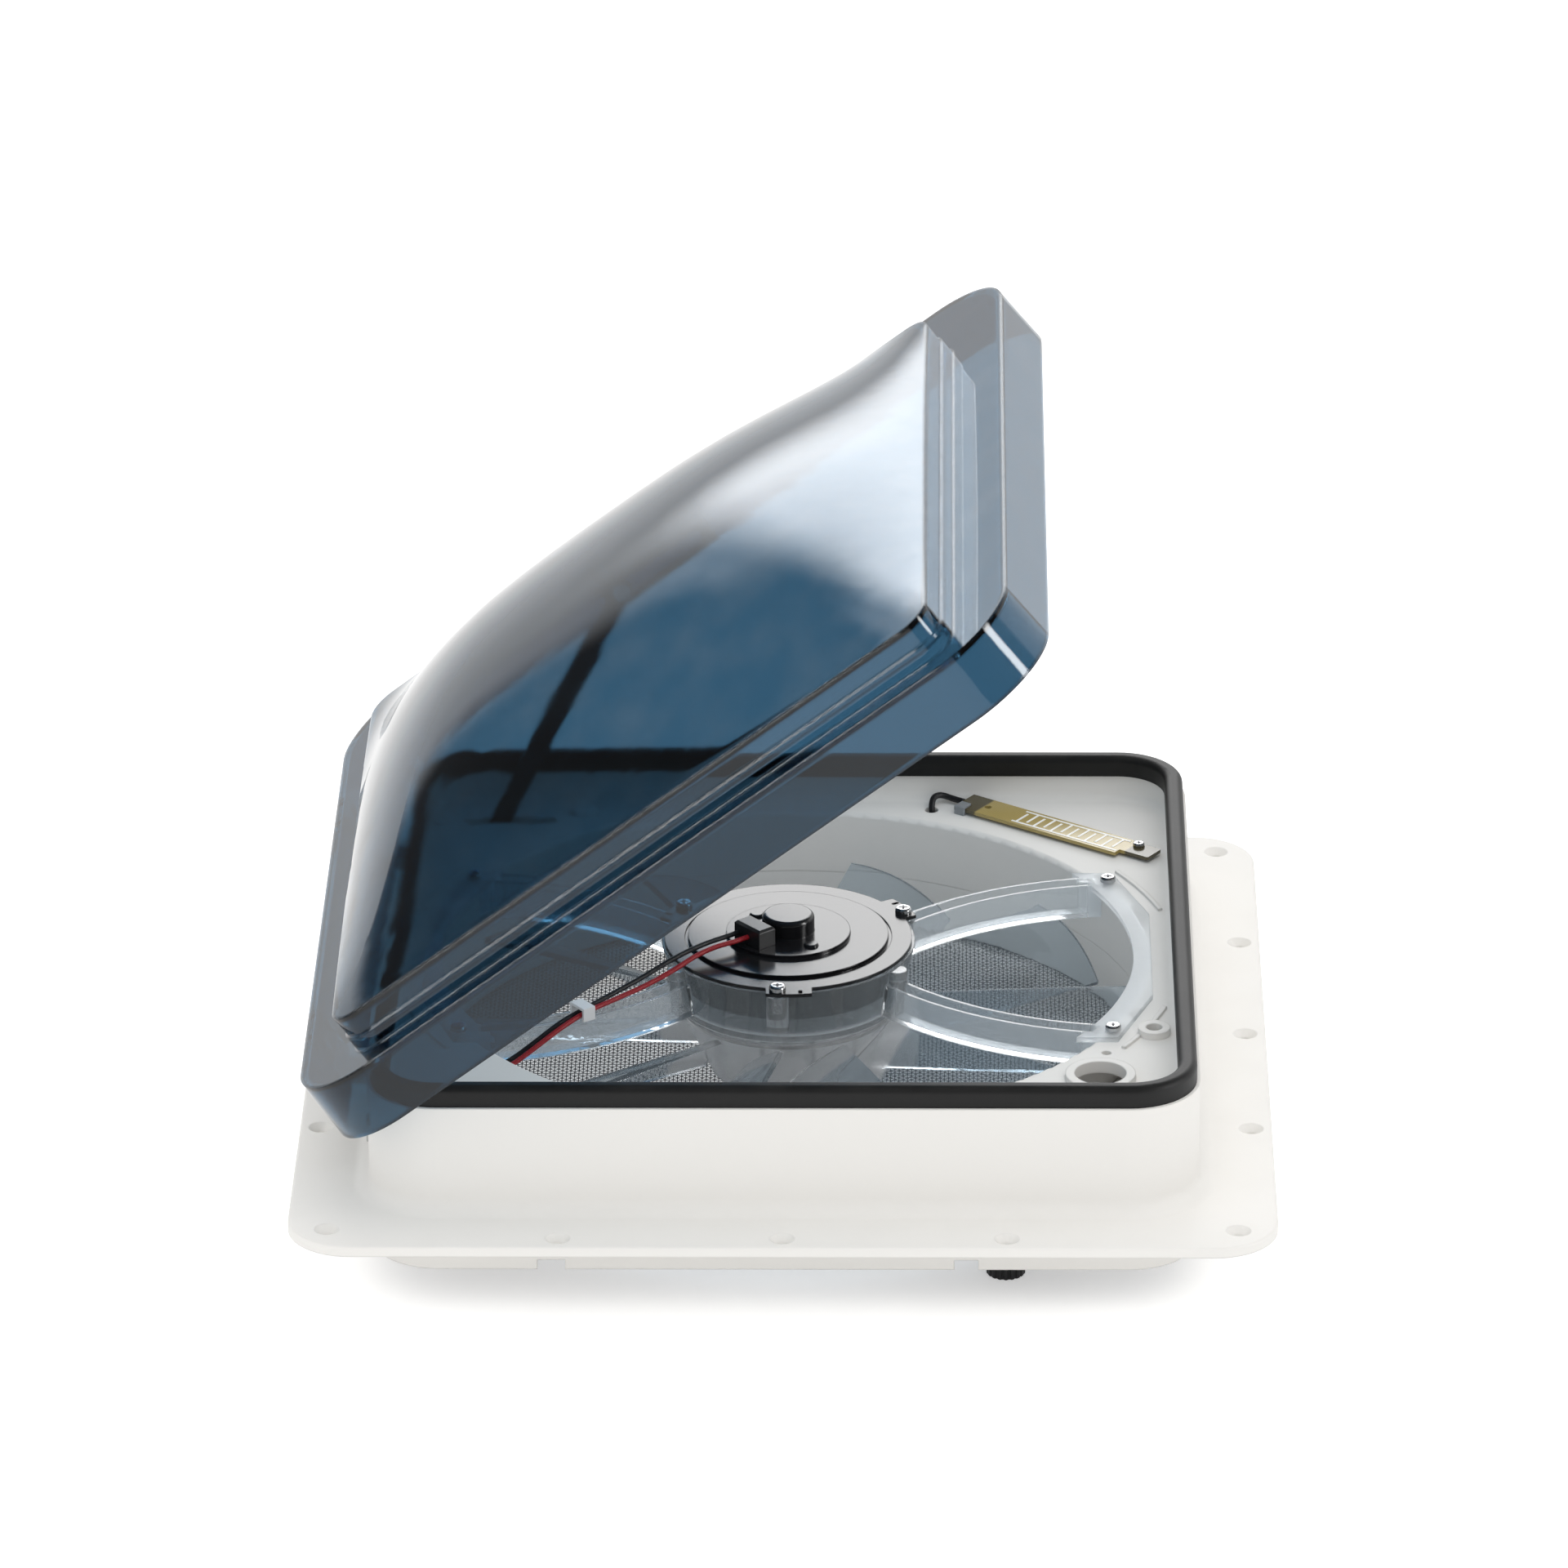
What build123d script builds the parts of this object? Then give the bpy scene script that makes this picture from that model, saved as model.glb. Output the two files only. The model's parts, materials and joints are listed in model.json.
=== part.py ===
from build123d import *
import os
from math import acos, asin, atan2, cos, degrees, hypot, pi, radians, sin, tan

os.makedirs("parts", exist_ok=True)

# Caravan roof vent, built from the roof up.
# Millimetres. Origin in the middle of the flange underside, +Z up out of the roof.
# The hinge of the lid runs along Y on the -X side.

# Driving dimensions
flange_side = 416.0
flange_thickness = 4.5
flange_corner = 27.0
roof_hole_radius = 2.6
roof_hole_head = 5.25
roof_hole_corner = 191.0
roof_hole_row = 199.0
roof_hole_pitch = 94.0

wall_half = 175.5
wall_corner = 30.0
wall_top = 53.0
wall_width = 6.5
wall_foot_fillet = 7.0

neck_half = 174.5
neck_wall = 3.5
neck_depth = 22.5

deck_top = 40.5
deck_thickness = 3.0
throat_radius = 155.5
throat_wall = 3.0
throat_seam = 11.0

lid_half_x = 184.8
lid_half_y = 199.4
lid_corner = 38.0
lid_thickness = 3.0
lid_opening = 37.13
hinge_height = 38.3
barrel_radius = 4.5
lid_rim_height = 27.2

overrun = 1.0
face_gap = 0.3
screw_clearance = 0.1
running_clearance = 0.05

deck_bottom = deck_top - deck_thickness
wall_inner_half = wall_half - wall_width
neck_inner_half = neck_half - neck_wall
throat_outer_radius = throat_radius + throat_wall
hinge_x = -(lid_half_x + barrel_radius)


# Shapes that several pieces share

def square_sketch(half):
    """Rounded square concentric with the curb wall."""
    corner = wall_corner - (wall_half - half)
    RectangleRounded(2 * half, 2 * half, corner)


def bar_sketch(start, end, width):
    """Straight bar with rounded ends about its two end points."""
    run = Vector(*end) - Vector(*start)
    middle = (Vector(*end) + Vector(*start)) / 2
    with Locations((middle.X, middle.Y)):
        SlotCenterToCenter(run.length, width, rotation=degrees(atan2(run.Y, run.X)))


def pan_screw(shank, head, head_height, length):
    """Screw with its head above the XY plane and its shank below."""
    with BuildPart() as screw:
        Cylinder(head, head_height, align=(Align.CENTER, Align.CENTER, Align.MIN))
        fillet(screw.edges().group_by(Axis.Z)[-1], head_height * head_round_share)
        Cylinder(shank, length, align=(Align.CENTER, Align.CENTER, Align.MAX))
        slot_half = head * slot_length_share
        with BuildSketch(Plane.XY.offset(head_height)):
            Rectangle(2 * slot_half, head * slot_width_share)
            Rectangle(head * slot_width_share, 2 * slot_half)
        extrude(amount=-head_height * slot_depth_share, mode=Mode.SUBTRACT)
    return screw.part


head_round_share = 0.45
slot_length_share = 0.55
slot_width_share = 0.28
slot_depth_share = 0.5


def placed(piece, planes, label):
    """One group with a copy of the piece at each plane."""
    copies = [piece.moved(plane.location) for plane in planes]
    return Compound(label=label, children=copies)


def ring_places(radius, angles, height):
    """Upright planes on a circle about the vent's axis."""
    spots = []
    for angle in angles:
        turn = radians(angle)
        spots.append(Plane((radius * cos(turn), radius * sin(turn), height)))
    return spots


cord_run_share = 0.45


def cord_route(points):
    """Radii of the arcs at a cord's inner points, as large as its runs allow."""
    radii = []
    for before, corner, after in zip(points, points[1:], points[2:]):
        run_in = Vector(*corner) - Vector(*before)
        run_out = Vector(*after) - Vector(*corner)
        half_turn = radians(run_in.get_angle(run_out)) / 2
        shorter = min(run_in.length, run_out.length)
        radii.append(cord_run_share * shorter / tan(half_turn))
    return radii


def report_cord(name, part, length, radius, radii):
    """Prints what a cord measures."""
    share = part.volume / (pi * radius**2 * length)
    print(name, "length", round(length, 1), "volume share", round(share, 4),
          "radii", [round(r, 1) for r in radii])


# Base housing: flange, curb wall, neck, deck and throat in one moulding

deck_fillet = 4.0
throat_lip = 2.0
flange_edge = 1.2
notch_height = 4.4
notch_a = (-103.7, -92.0)
notch_b = (72.2, 82.2)
tongue_width = 3.0
tongue_height = 4.0

lift_y = 141.5
slot_left = -149.0
slot_right = -104.6
slot_width = 6.4

lead_hole_angle = 216.5
lead_hole_height = 30.0
lead_hole_radius = 4.5
sensor_hole = (62.0, 157.0)
sensor_hole_radius = 3.0

boss_ring_place = (157.6, -75.0)
boss_ring_outer = 7.0
boss_ring_inner = 3.5
boss_ring_height = 3.0
pin_hole_place = (136.9, -94.4)
pin_hole_radius = 2.0
drain_place = (134.0, -119.0)
drain_outer = 15.0
drain_inner = 11.0
drain_height = 2.5
dome_boss_place = (-92.0, 149.4)
dome_boss_radius = 6.0
dome_boss_height = 3.0
small_boss_place = (-160.0, 140.6)
small_boss_radius = 4.5
small_boss_height = 1.0
step_radius = 170.0
step_width = 2.0
step_height = 1.0
step_start = 17.0
step_sweep = 15.0

board_centre = (118.0, 132.2)
board_turn = -35.0
board_length = 101.0
board_width = 15.6
board_thickness = 1.6
board_lift = 1.4
board_screw_along = 41.4
board_screw_across = 4.1
board_post_radius = 3.8
board_pilot_radius = 1.2
board_foot_along = -44.0

plate_screw_place = (140.0, 76.0)
plate_pilot_radius = 1.6
plate_pilot_depth = 2.4

bracket_y = 110.0
bracket_screw_offset = 11.0
bracket_screw_height = 20.0
bracket_screw_radius = 1.7

lift_flange_screws = (-130.0, -98.0)
lift_flange_y = 160.0
deck_pilot_radius = 1.4
deck_pilot_depth = 2.2

box_left = 86.0
box_right = 130.0
box_front = -169.0
box_back = -139.0
box_ear = 9.0
box_wall = 2.0

board_plane = Plane(origin=(*board_centre, deck_top), x_dir=(1, 0, 0), z_dir=(0, 0, 1))
board_plane = board_plane.rotated((0, 0, board_turn))
box_ear_places = [
    (box_left - box_ear / 2, (box_front + box_back) / 2),
    (box_right + box_ear / 2, (box_front + box_back) / 2),
]

roof_corners = [(x * roof_hole_corner, y * roof_hole_corner) for x in (-1, 1) for y in (-1, 1)]
roof_rows = []
for side in (-1, 1):
    for step in (-1, 0, 1):
        roof_rows.append((step * roof_hole_pitch, side * roof_hole_row))
        roof_rows.append((side * roof_hole_row, step * roof_hole_pitch))

with BuildPart() as base_housing:
    with BuildSketch():
        RectangleRounded(flange_side, flange_side, flange_corner)
    extrude(amount=flange_thickness)
    fillet(base_housing.edges().group_by(Axis.Z)[-1], flange_edge)
    with BuildSketch(Plane.XY.offset(flange_thickness)):
        square_sketch(wall_half)
    extrude(amount=wall_top - flange_thickness)
    foot_edges = [
        edge for edge in base_housing.edges()
        if abs(edge.center().Z - flange_thickness) < flange_edge / 2
        and max(abs(edge.center().X), abs(edge.center().Y)) < wall_half + face_gap
    ]
    fillet(foot_edges, wall_foot_fillet)
    with BuildSketch():
        square_sketch(neck_half)
    extrude(amount=-neck_depth)
    with BuildSketch(Plane.XY.offset(deck_bottom)):
        square_sketch(neck_inner_half)
    extrude(amount=-(deck_bottom + neck_depth + overrun), mode=Mode.SUBTRACT)
    with BuildSketch(Plane.XY.offset(wall_top)):
        square_sketch(wall_inner_half)
    extrude(amount=deck_top - wall_top, mode=Mode.SUBTRACT)
    deck_edges = [
        edge for edge in base_housing.edges()
        if abs(edge.center().Z - deck_top) < face_gap
        and max(abs(edge.center().X), abs(edge.center().Y)) > throat_outer_radius
    ]
    fillet(deck_edges, deck_fillet)
    with BuildSketch(Plane.XY.offset(wall_top)):
        square_sketch(wall_inner_half + tongue_width)
        RectangleRounded(
            2 * wall_inner_half, 2 * wall_inner_half,
            wall_corner - wall_width, mode=Mode.SUBTRACT,
        )
    extrude(amount=tongue_height)
    with BuildSketch(Plane.XY.offset(throat_seam)):
        Circle(throat_outer_radius)
    extrude(amount=deck_bottom - throat_seam)
    with BuildSketch(Plane.XY.offset(throat_seam)):
        Circle(throat_radius)
    extrude(amount=deck_top - throat_seam, mode=Mode.SUBTRACT)
    lip_edges = [
        edge for edge in base_housing.edges().filter_by(GeomType.CIRCLE)
        if abs(edge.center().Z - deck_top) < face_gap
        and abs(edge.radius - throat_radius) < face_gap
    ]
    fillet(lip_edges, throat_lip)

    # raised features on the deck
    with BuildSketch(Plane.XY.offset(deck_top)):
        with Locations(boss_ring_place):
            Circle(boss_ring_outer)
    extrude(amount=boss_ring_height)
    with BuildSketch(Plane.XY.offset(deck_top)):
        with Locations(drain_place):
            Circle(drain_outer)
    extrude(amount=drain_height)
    with BuildSketch(Plane.XY.offset(deck_top)):
        with Locations(small_boss_place):
            Circle(small_boss_radius)
    extrude(amount=small_boss_height)
    with BuildSketch(Plane.XY.offset(deck_top)):
        with Locations(dome_boss_place):
            Circle(dome_boss_radius)
    extrude(amount=dome_boss_height)
    dome_edges = [
        edge for edge in base_housing.edges().filter_by(GeomType.CIRCLE)
        if abs(edge.radius - dome_boss_radius) < face_gap
        and edge.center().Z > deck_top + dome_boss_height / 2
    ]
    fillet(dome_edges, dome_boss_height - face_gap)
    with BuildSketch(Plane.XY.offset(deck_top)):
        for turn in (step_start, -step_start - step_sweep):
            for half_turn in (0, 180):
                with BuildLine():
                    CenterArc((0, 0), step_radius, turn + half_turn, step_sweep)
                trace(line_width=step_width)
    extrude(amount=step_height)
    with BuildSketch(board_plane):
        with Locations((board_screw_along, board_screw_across), (board_foot_along, 0)):
            Circle(board_post_radius)
    extrude(amount=board_lift)

    # holes through the deck, the throat and the flange
    with BuildSketch(Plane.XY.offset(deck_top + boss_ring_height)):
        with Locations(boss_ring_place):
            Circle(boss_ring_inner)
        with Locations(pin_hole_place):
            Circle(pin_hole_radius)
        with Locations(drain_place):
            Circle(drain_inner)
        with Locations(sensor_hole):
            Circle(sensor_hole_radius)
        bar_sketch(
            (slot_left + slot_width / 2, lift_y), (slot_right - slot_width / 2, lift_y), slot_width
        )
    extrude(amount=-(deck_thickness + boss_ring_height + overrun), mode=Mode.SUBTRACT)
    lead_turn = radians(lead_hole_angle)
    lead_plane = Plane(
        origin=(throat_radius * cos(lead_turn), throat_radius * sin(lead_turn), lead_hole_height),
        z_dir=(cos(lead_turn), sin(lead_turn), 0),
    )
    with BuildSketch(lead_plane.offset(-throat_wall)):
        Circle(lead_hole_radius)
    extrude(amount=3 * throat_wall, mode=Mode.SUBTRACT)
    with Locations(*[(x, y, flange_thickness) for x, y in roof_corners + roof_rows]):
        CounterSinkHole(roof_hole_radius, roof_hole_head, depth=flange_thickness + overrun)
    for left, right in (notch_a, notch_b):
        with BuildSketch(Plane.XZ.offset(neck_inner_half - overrun)):
            with Locations(((left + right) / 2, -neck_depth)):
                Rectangle(right - left, 2 * notch_height)
        extrude(amount=neck_wall + 2 * overrun, mode=Mode.SUBTRACT)

    # pilot holes for the screws that hold other pieces
    with BuildSketch(Plane.XY.offset(deck_top)):
        with Locations(*[(x * plate_screw_place[0], y * plate_screw_place[1])
                         for x in (-1, 1) for y in (-1, 1)]):
            Circle(plate_pilot_radius)
    extrude(amount=-plate_pilot_depth, mode=Mode.SUBTRACT)
    with BuildSketch(board_plane.offset(board_lift)):
        with Locations((board_screw_along, board_screw_across)):
            Circle(board_pilot_radius)
    extrude(amount=-(board_lift + deck_pilot_depth), mode=Mode.SUBTRACT)
    with BuildSketch(Plane.XY.offset(deck_bottom)):
        with Locations(*[(x, lift_flange_y) for x in lift_flange_screws], *box_ear_places):
            Circle(deck_pilot_radius)
    extrude(amount=deck_pilot_depth, mode=Mode.SUBTRACT)
    for side in (-1, 1):
        for step in (-1, 1):
            place = (side * bracket_y + step * bracket_screw_offset, bracket_screw_height)
            with BuildSketch(Plane.YZ.offset(-wall_half - overrun)):
                with Locations(place):
                    Circle(bracket_screw_radius)
            extrude(amount=wall_width, mode=Mode.SUBTRACT)

base_housing.part.label = "base_housing"
export_step(base_housing.part, "parts/base_housing.step")

# Rim gasket: rubber seal pressed on the tongue of the curb wall

gasket_half = 174.2
gasket_width = 8.0
gasket_height = 9.4
gasket_round = 3.0

with BuildPart() as rim_gasket:
    with BuildSketch(Plane.XY.offset(wall_top)):
        square_sketch(gasket_half)
        RectangleRounded(
            2 * (gasket_half - gasket_width), 2 * (gasket_half - gasket_width),
            wall_corner - (wall_half - gasket_half) - gasket_width, mode=Mode.SUBTRACT,
        )
    extrude(amount=gasket_height)
    fillet(rim_gasket.edges().group_by(Axis.Z)[-1], gasket_round)
    with BuildSketch(Plane.XY.offset(wall_top)):
        square_sketch(wall_inner_half + tongue_width + face_gap)
        RectangleRounded(
            2 * (wall_inner_half - face_gap), 2 * (wall_inner_half - face_gap),
            wall_corner - wall_width - face_gap, mode=Mode.SUBTRACT,
        )
    extrude(amount=tongue_height + face_gap, mode=Mode.SUBTRACT)

rim_gasket.part.label = "rim_gasket"
export_step(rim_gasket.part, "parts/rim_gasket.step")

# Throat ring: lower half of the air duct, a socket over the throat of the deck

ring_bottom = -13.0
socket_wall = 2.2
socket_height = 6.0
socket_clearance = 0.3
ring_foot = 3.5
ring_foot_height = 3.0
ring_screw_angles = (45, 135, 225, 315)
ring_screw_radius = 1.5
ring_screw_head = 2.8
ring_screw_head_height = 1.6
ring_screw_height = throat_seam + socket_height / 2

with BuildPart() as throat_ring:
    with BuildSketch(Plane.XY.offset(ring_bottom)):
        Circle(throat_outer_radius)
    extrude(amount=throat_seam - ring_bottom)
    with BuildSketch(Plane.XY.offset(ring_bottom)):
        Circle(throat_outer_radius + ring_foot)
    extrude(amount=ring_foot_height)
    with BuildSketch(Plane.XY.offset(throat_seam - socket_height)):
        Circle(throat_outer_radius + socket_clearance + socket_wall)
    extrude(amount=2 * socket_height)
    with BuildSketch(Plane.XY.offset(throat_seam)):
        Circle(throat_outer_radius + socket_clearance)
    extrude(amount=socket_height + overrun, mode=Mode.SUBTRACT)
    with BuildSketch(Plane.XY.offset(ring_bottom)):
        Circle(throat_radius)
    extrude(amount=throat_seam - ring_bottom, mode=Mode.SUBTRACT)
    for angle in ring_screw_angles:
        turn = radians(angle)
        face = Plane(origin=(0, 0, ring_screw_height), z_dir=(cos(turn), sin(turn), 0))
        with BuildSketch(face.offset(throat_outer_radius)):
            Circle(ring_screw_radius + screw_clearance)
        extrude(amount=socket_wall + 2 * overrun, mode=Mode.SUBTRACT)

throat_ring.part.label = "throat_ring"
export_step(throat_ring.part, "parts/throat_ring.step")

ring_screw_reach = socket_wall + socket_clearance
ring_screw = pan_screw(ring_screw_radius, ring_screw_head, ring_screw_head_height, ring_screw_reach)
ring_screw_planes = []
for angle in ring_screw_angles:
    turn = radians(angle)
    out = (cos(turn), sin(turn), 0)
    seat = throat_outer_radius + socket_clearance + socket_wall
    ring_screw_planes.append(
        Plane(origin=(seat * out[0], seat * out[1], ring_screw_height), z_dir=out)
    )
throat_ring_screws = placed(ring_screw, ring_screw_planes, "throat_ring_screws")
export_step(throat_ring_screws, "parts/throat_ring_screws.step")

# Insect screen: a square mesh in one sheet, clamped under the throat ring

screen_thickness = 1.0
screen_lap = 5.5
screen_radius = throat_radius + screen_lap
screen_open_inset = 1.5
screen_open_radius = throat_radius - screen_open_inset
screen_pitch = 17.2
screen_wire = 1.4
screen_rows = 19
clamp_height = 2.5
clamp_inset = 0.5
clamp_inner = throat_radius + clamp_inset
clamp_screw_angles = (15, 75, 135, 195, 255, 315)
clamp_screw_radius = 1.2
clamp_screw_head = 2.2
clamp_screw_head_height = 1.4
clamp_screw_circle = (clamp_inner + screen_radius) / 2 + overrun / 2

mesh_half = screen_pitch * (screen_rows - 1) / 2
mesh_places = []
for column in range(screen_rows):
    for row in range(screen_rows):
        spot = (column * screen_pitch - mesh_half, row * screen_pitch - mesh_half)
        reach = hypot(abs(spot[0]) + screen_pitch / 2, abs(spot[1]) + screen_pitch / 2)
        if reach < screen_open_radius:
            mesh_places.append(spot)
print("screen gaps", len(mesh_places))

with BuildPart() as insect_screen:
    with BuildSketch(Plane.XY.offset(ring_bottom - screen_thickness)):
        Circle(screen_radius)
        with Locations(*mesh_places):
            Rectangle(screen_pitch - screen_wire, screen_pitch - screen_wire, mode=Mode.SUBTRACT)
        with PolarLocations(clamp_screw_circle, len(clamp_screw_angles), clamp_screw_angles[0]):
            Circle(clamp_screw_radius + screw_clearance, mode=Mode.SUBTRACT)
    extrude(amount=screen_thickness)

insect_screen.part.label = "insect_screen"
export_step(insect_screen.part, "parts/insect_screen.step")

clamp_top = ring_bottom - screen_thickness
with BuildPart() as screen_clamp:
    with BuildSketch(Plane.XY.offset(clamp_top - clamp_height)):
        Circle(screen_radius)
        Circle(clamp_inner, mode=Mode.SUBTRACT)
        with PolarLocations(clamp_screw_circle, len(clamp_screw_angles), clamp_screw_angles[0]):
            Circle(clamp_screw_radius + screw_clearance, mode=Mode.SUBTRACT)
    extrude(amount=clamp_height)

screen_clamp.part.label = "screen_clamp"
export_step(screen_clamp.part, "parts/screen_clamp.step")

clamp_screw = pan_screw(
    clamp_screw_radius, clamp_screw_head, clamp_screw_head_height, clamp_height + screen_thickness
)
clamp_screw_planes = []
for spot in ring_places(clamp_screw_circle, clamp_screw_angles, clamp_top - clamp_height):
    clamp_screw_planes.append(Plane(origin=spot.origin, z_dir=(0, 0, -1)))
screen_clamp_screws = placed(clamp_screw, clamp_screw_planes, "screen_clamp_screws")
export_step(screen_clamp_screws, "parts/screen_clamp_screws.step")

# Motor bracket: clear cup on four channel arms, with a plate over the deck at each side

cup_top = 49.5
cup_bottom = 23.5
cup_top_radius = 55.0
cup_bottom_radius = 49.5
cup_wall = 2.5
cup_shaft_hole = 9.0
arm_width = 9.2
arm_rim = 1.5
arm_floor = 1.8
arm_top = 42.9
arm_bottom = 27.5
arm_start = (47.0, 28.5)
arm_middle = (87.6, 61.2)
arm_end = (140.0, 76.2)
arm_root_share = 0.9
plate_overhang = 5.5
plate_inner_radius = throat_radius - plate_overhang
plate_edge_x = 157.6
plate_edge_y = 41.0
plate_corner_x = 142.0
plate_corner_y = 84.0
plate_hole_radius = 1.9
tab_angles = (31, 151, 271)
tab_circle = 55.5
tab_screw_lag = 5.0
boss_radius = 5.0
boss_bottom = 33.0
motor_pilot_radius = 1.5
spare_boss_place = (47.7, 30.3)
spare_boss_radius = 4.0

arm_corners = [(x, y) for x in (-1, 1) for y in (-1, 1)]


def arm_lines(width, root_share):
    """The four arms in plan, as bands along their arcs."""
    for x, y in arm_corners:
        start = (x * arm_start[0] * root_share, y * arm_start[1] * root_share)
        middle = (x * arm_middle[0], y * arm_middle[1])
        end = (x * arm_end[0], y * arm_end[1])
        with BuildLine() as arc:
            ThreePointArc(start, middle, end)
        trace(arc.line, line_width=width)


def side_plates():
    """The plates that join the arm ends in pairs."""
    for side in (-1, 1):
        with BuildLine() as outline:
            Polyline(
                (side * plate_corner_x, plate_corner_y),
                (side * plate_edge_x, plate_edge_y),
                (side * plate_edge_x, -plate_edge_y),
                (side * plate_corner_x, -plate_corner_y),
                (0, -plate_corner_y), (0, plate_corner_y),
                close=True,
            )
        make_face(outline.edges())
    Circle(plate_inner_radius, mode=Mode.SUBTRACT)


with BuildPart() as motor_bracket:
    with BuildSketch(Plane.XY.offset(deck_top)):
        side_plates()
        arm_lines(arm_width, arm_root_share)
    extrude(amount=arm_top - deck_top)
    with BuildSketch(Plane.XY.offset(arm_bottom)):
        arm_lines(arm_width, arm_root_share)
        Circle(throat_radius - overrun, mode=Mode.INTERSECT)
    extrude(amount=deck_top - arm_bottom)
    with BuildSketch(Plane.XZ):
        with BuildLine():
            Polyline(
                (0, cup_bottom), (cup_bottom_radius, cup_bottom),
                (cup_top_radius, cup_top), (0, cup_top), close=True,
            )
        make_face()
    revolve(axis=Axis.Z)
    boss_places = ring_places(tab_circle, [angle - tab_screw_lag for angle in tab_angles], 0)
    with BuildSketch(Plane.XY.offset(boss_bottom)):
        with Locations(*[(spot.origin.X, spot.origin.Y) for spot in boss_places]):
            Circle(boss_radius)
        with Locations(*[(x * spare_boss_place[0], y * spare_boss_place[1]) for x, y in arm_corners]):
            Circle(spare_boss_radius)
    extrude(amount=cup_top - boss_bottom)
    with BuildSketch(Plane.XZ):
        with BuildLine():
            Polyline(
                (0, cup_bottom + cup_wall), (cup_bottom_radius - cup_wall, cup_bottom + cup_wall),
                (cup_top_radius - cup_wall, cup_top), (0, cup_top), close=True,
            )
        make_face()
    revolve(axis=Axis.Z, mode=Mode.SUBTRACT)
    with BuildSketch(Plane.XY.offset(cup_bottom)):
        Circle(cup_shaft_hole)
    extrude(amount=cup_wall, mode=Mode.SUBTRACT)
    with BuildSketch(Plane.XY.offset(arm_bottom + arm_floor)):
        arm_lines(arm_width - 2 * arm_rim, arm_root_share)
        Circle(cup_top_radius + spare_boss_radius, mode=Mode.SUBTRACT)
        Circle(throat_radius - overrun - arm_floor, mode=Mode.INTERSECT)
    extrude(amount=arm_top - arm_bottom, mode=Mode.SUBTRACT)
    with BuildSketch(Plane.XY.offset(arm_top)):
        with Locations(*[(x * plate_screw_place[0], y * plate_screw_place[1])
                         for x, y in arm_corners]):
            Circle(plate_hole_radius)
    extrude(amount=deck_top - arm_top, mode=Mode.SUBTRACT)
    with BuildSketch(Plane.XY.offset(cup_top)):
        with Locations(*[(spot.origin.X, spot.origin.Y) for spot in boss_places]):
            Circle(motor_pilot_radius)
    extrude(amount=(boss_bottom - cup_top) / 2, mode=Mode.SUBTRACT)

motor_bracket.part.label = "motor_bracket"
export_step(motor_bracket.part, "parts/motor_bracket.step")

plate_screw_head = 3.4
plate_screw_head_height = 2.4
plate_screw = pan_screw(
    plate_pilot_radius, plate_screw_head, plate_screw_head_height,
    arm_top - deck_top + plate_pilot_depth,
)
bracket_screws = placed(
    plate_screw,
    [Plane((x * plate_screw_place[0], y * plate_screw_place[1], arm_top)) for x, y in arm_corners],
    "bracket_screws",
)
export_step(bracket_screws, "parts/bracket_screws.step")

# Fan motor: can, magnets, end plate, bushes, brushes and connector, all still

motor_plate_bottom = 49.8
motor_plate_thickness = 1.5
motor_plate_radius = 53.8
tab_outer_radius = 59.5
tab_width = 20.0
groove_outer = 45.0
groove_inner = 43.5
groove_depth = 0.6
inner_disc_step = 1.3
mid_disc_radius = 27.0
mid_disc_step = 1.7
cap_radius = 11.4
cap_top = 62.3
cap_round = 2.0
bump_radius = 3.2
bump_height = 1.2
bump_places = ((10.1, -16.3), (-13.9, 14.7))
tab_slot_length = 3.2
tab_slot_width = 1.6
tab_slot_inset = 2.2
shaft_radius = 3.0
can_radius = 47.5
can_wall = 1.5
can_bottom = 33.8
bush_housing_radius = 8.5
bush_housing_bottom = 29.8
bush_height = 5.0
magnet_thickness = 6.0
magnet_bottom = 36.0
magnet_top = 48.0
magnet_sweep = 80.0

plate_top = motor_plate_bottom + motor_plate_thickness
inner_disc_top = plate_top + inner_disc_step
mid_disc_top = inner_disc_top + mid_disc_step

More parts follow.
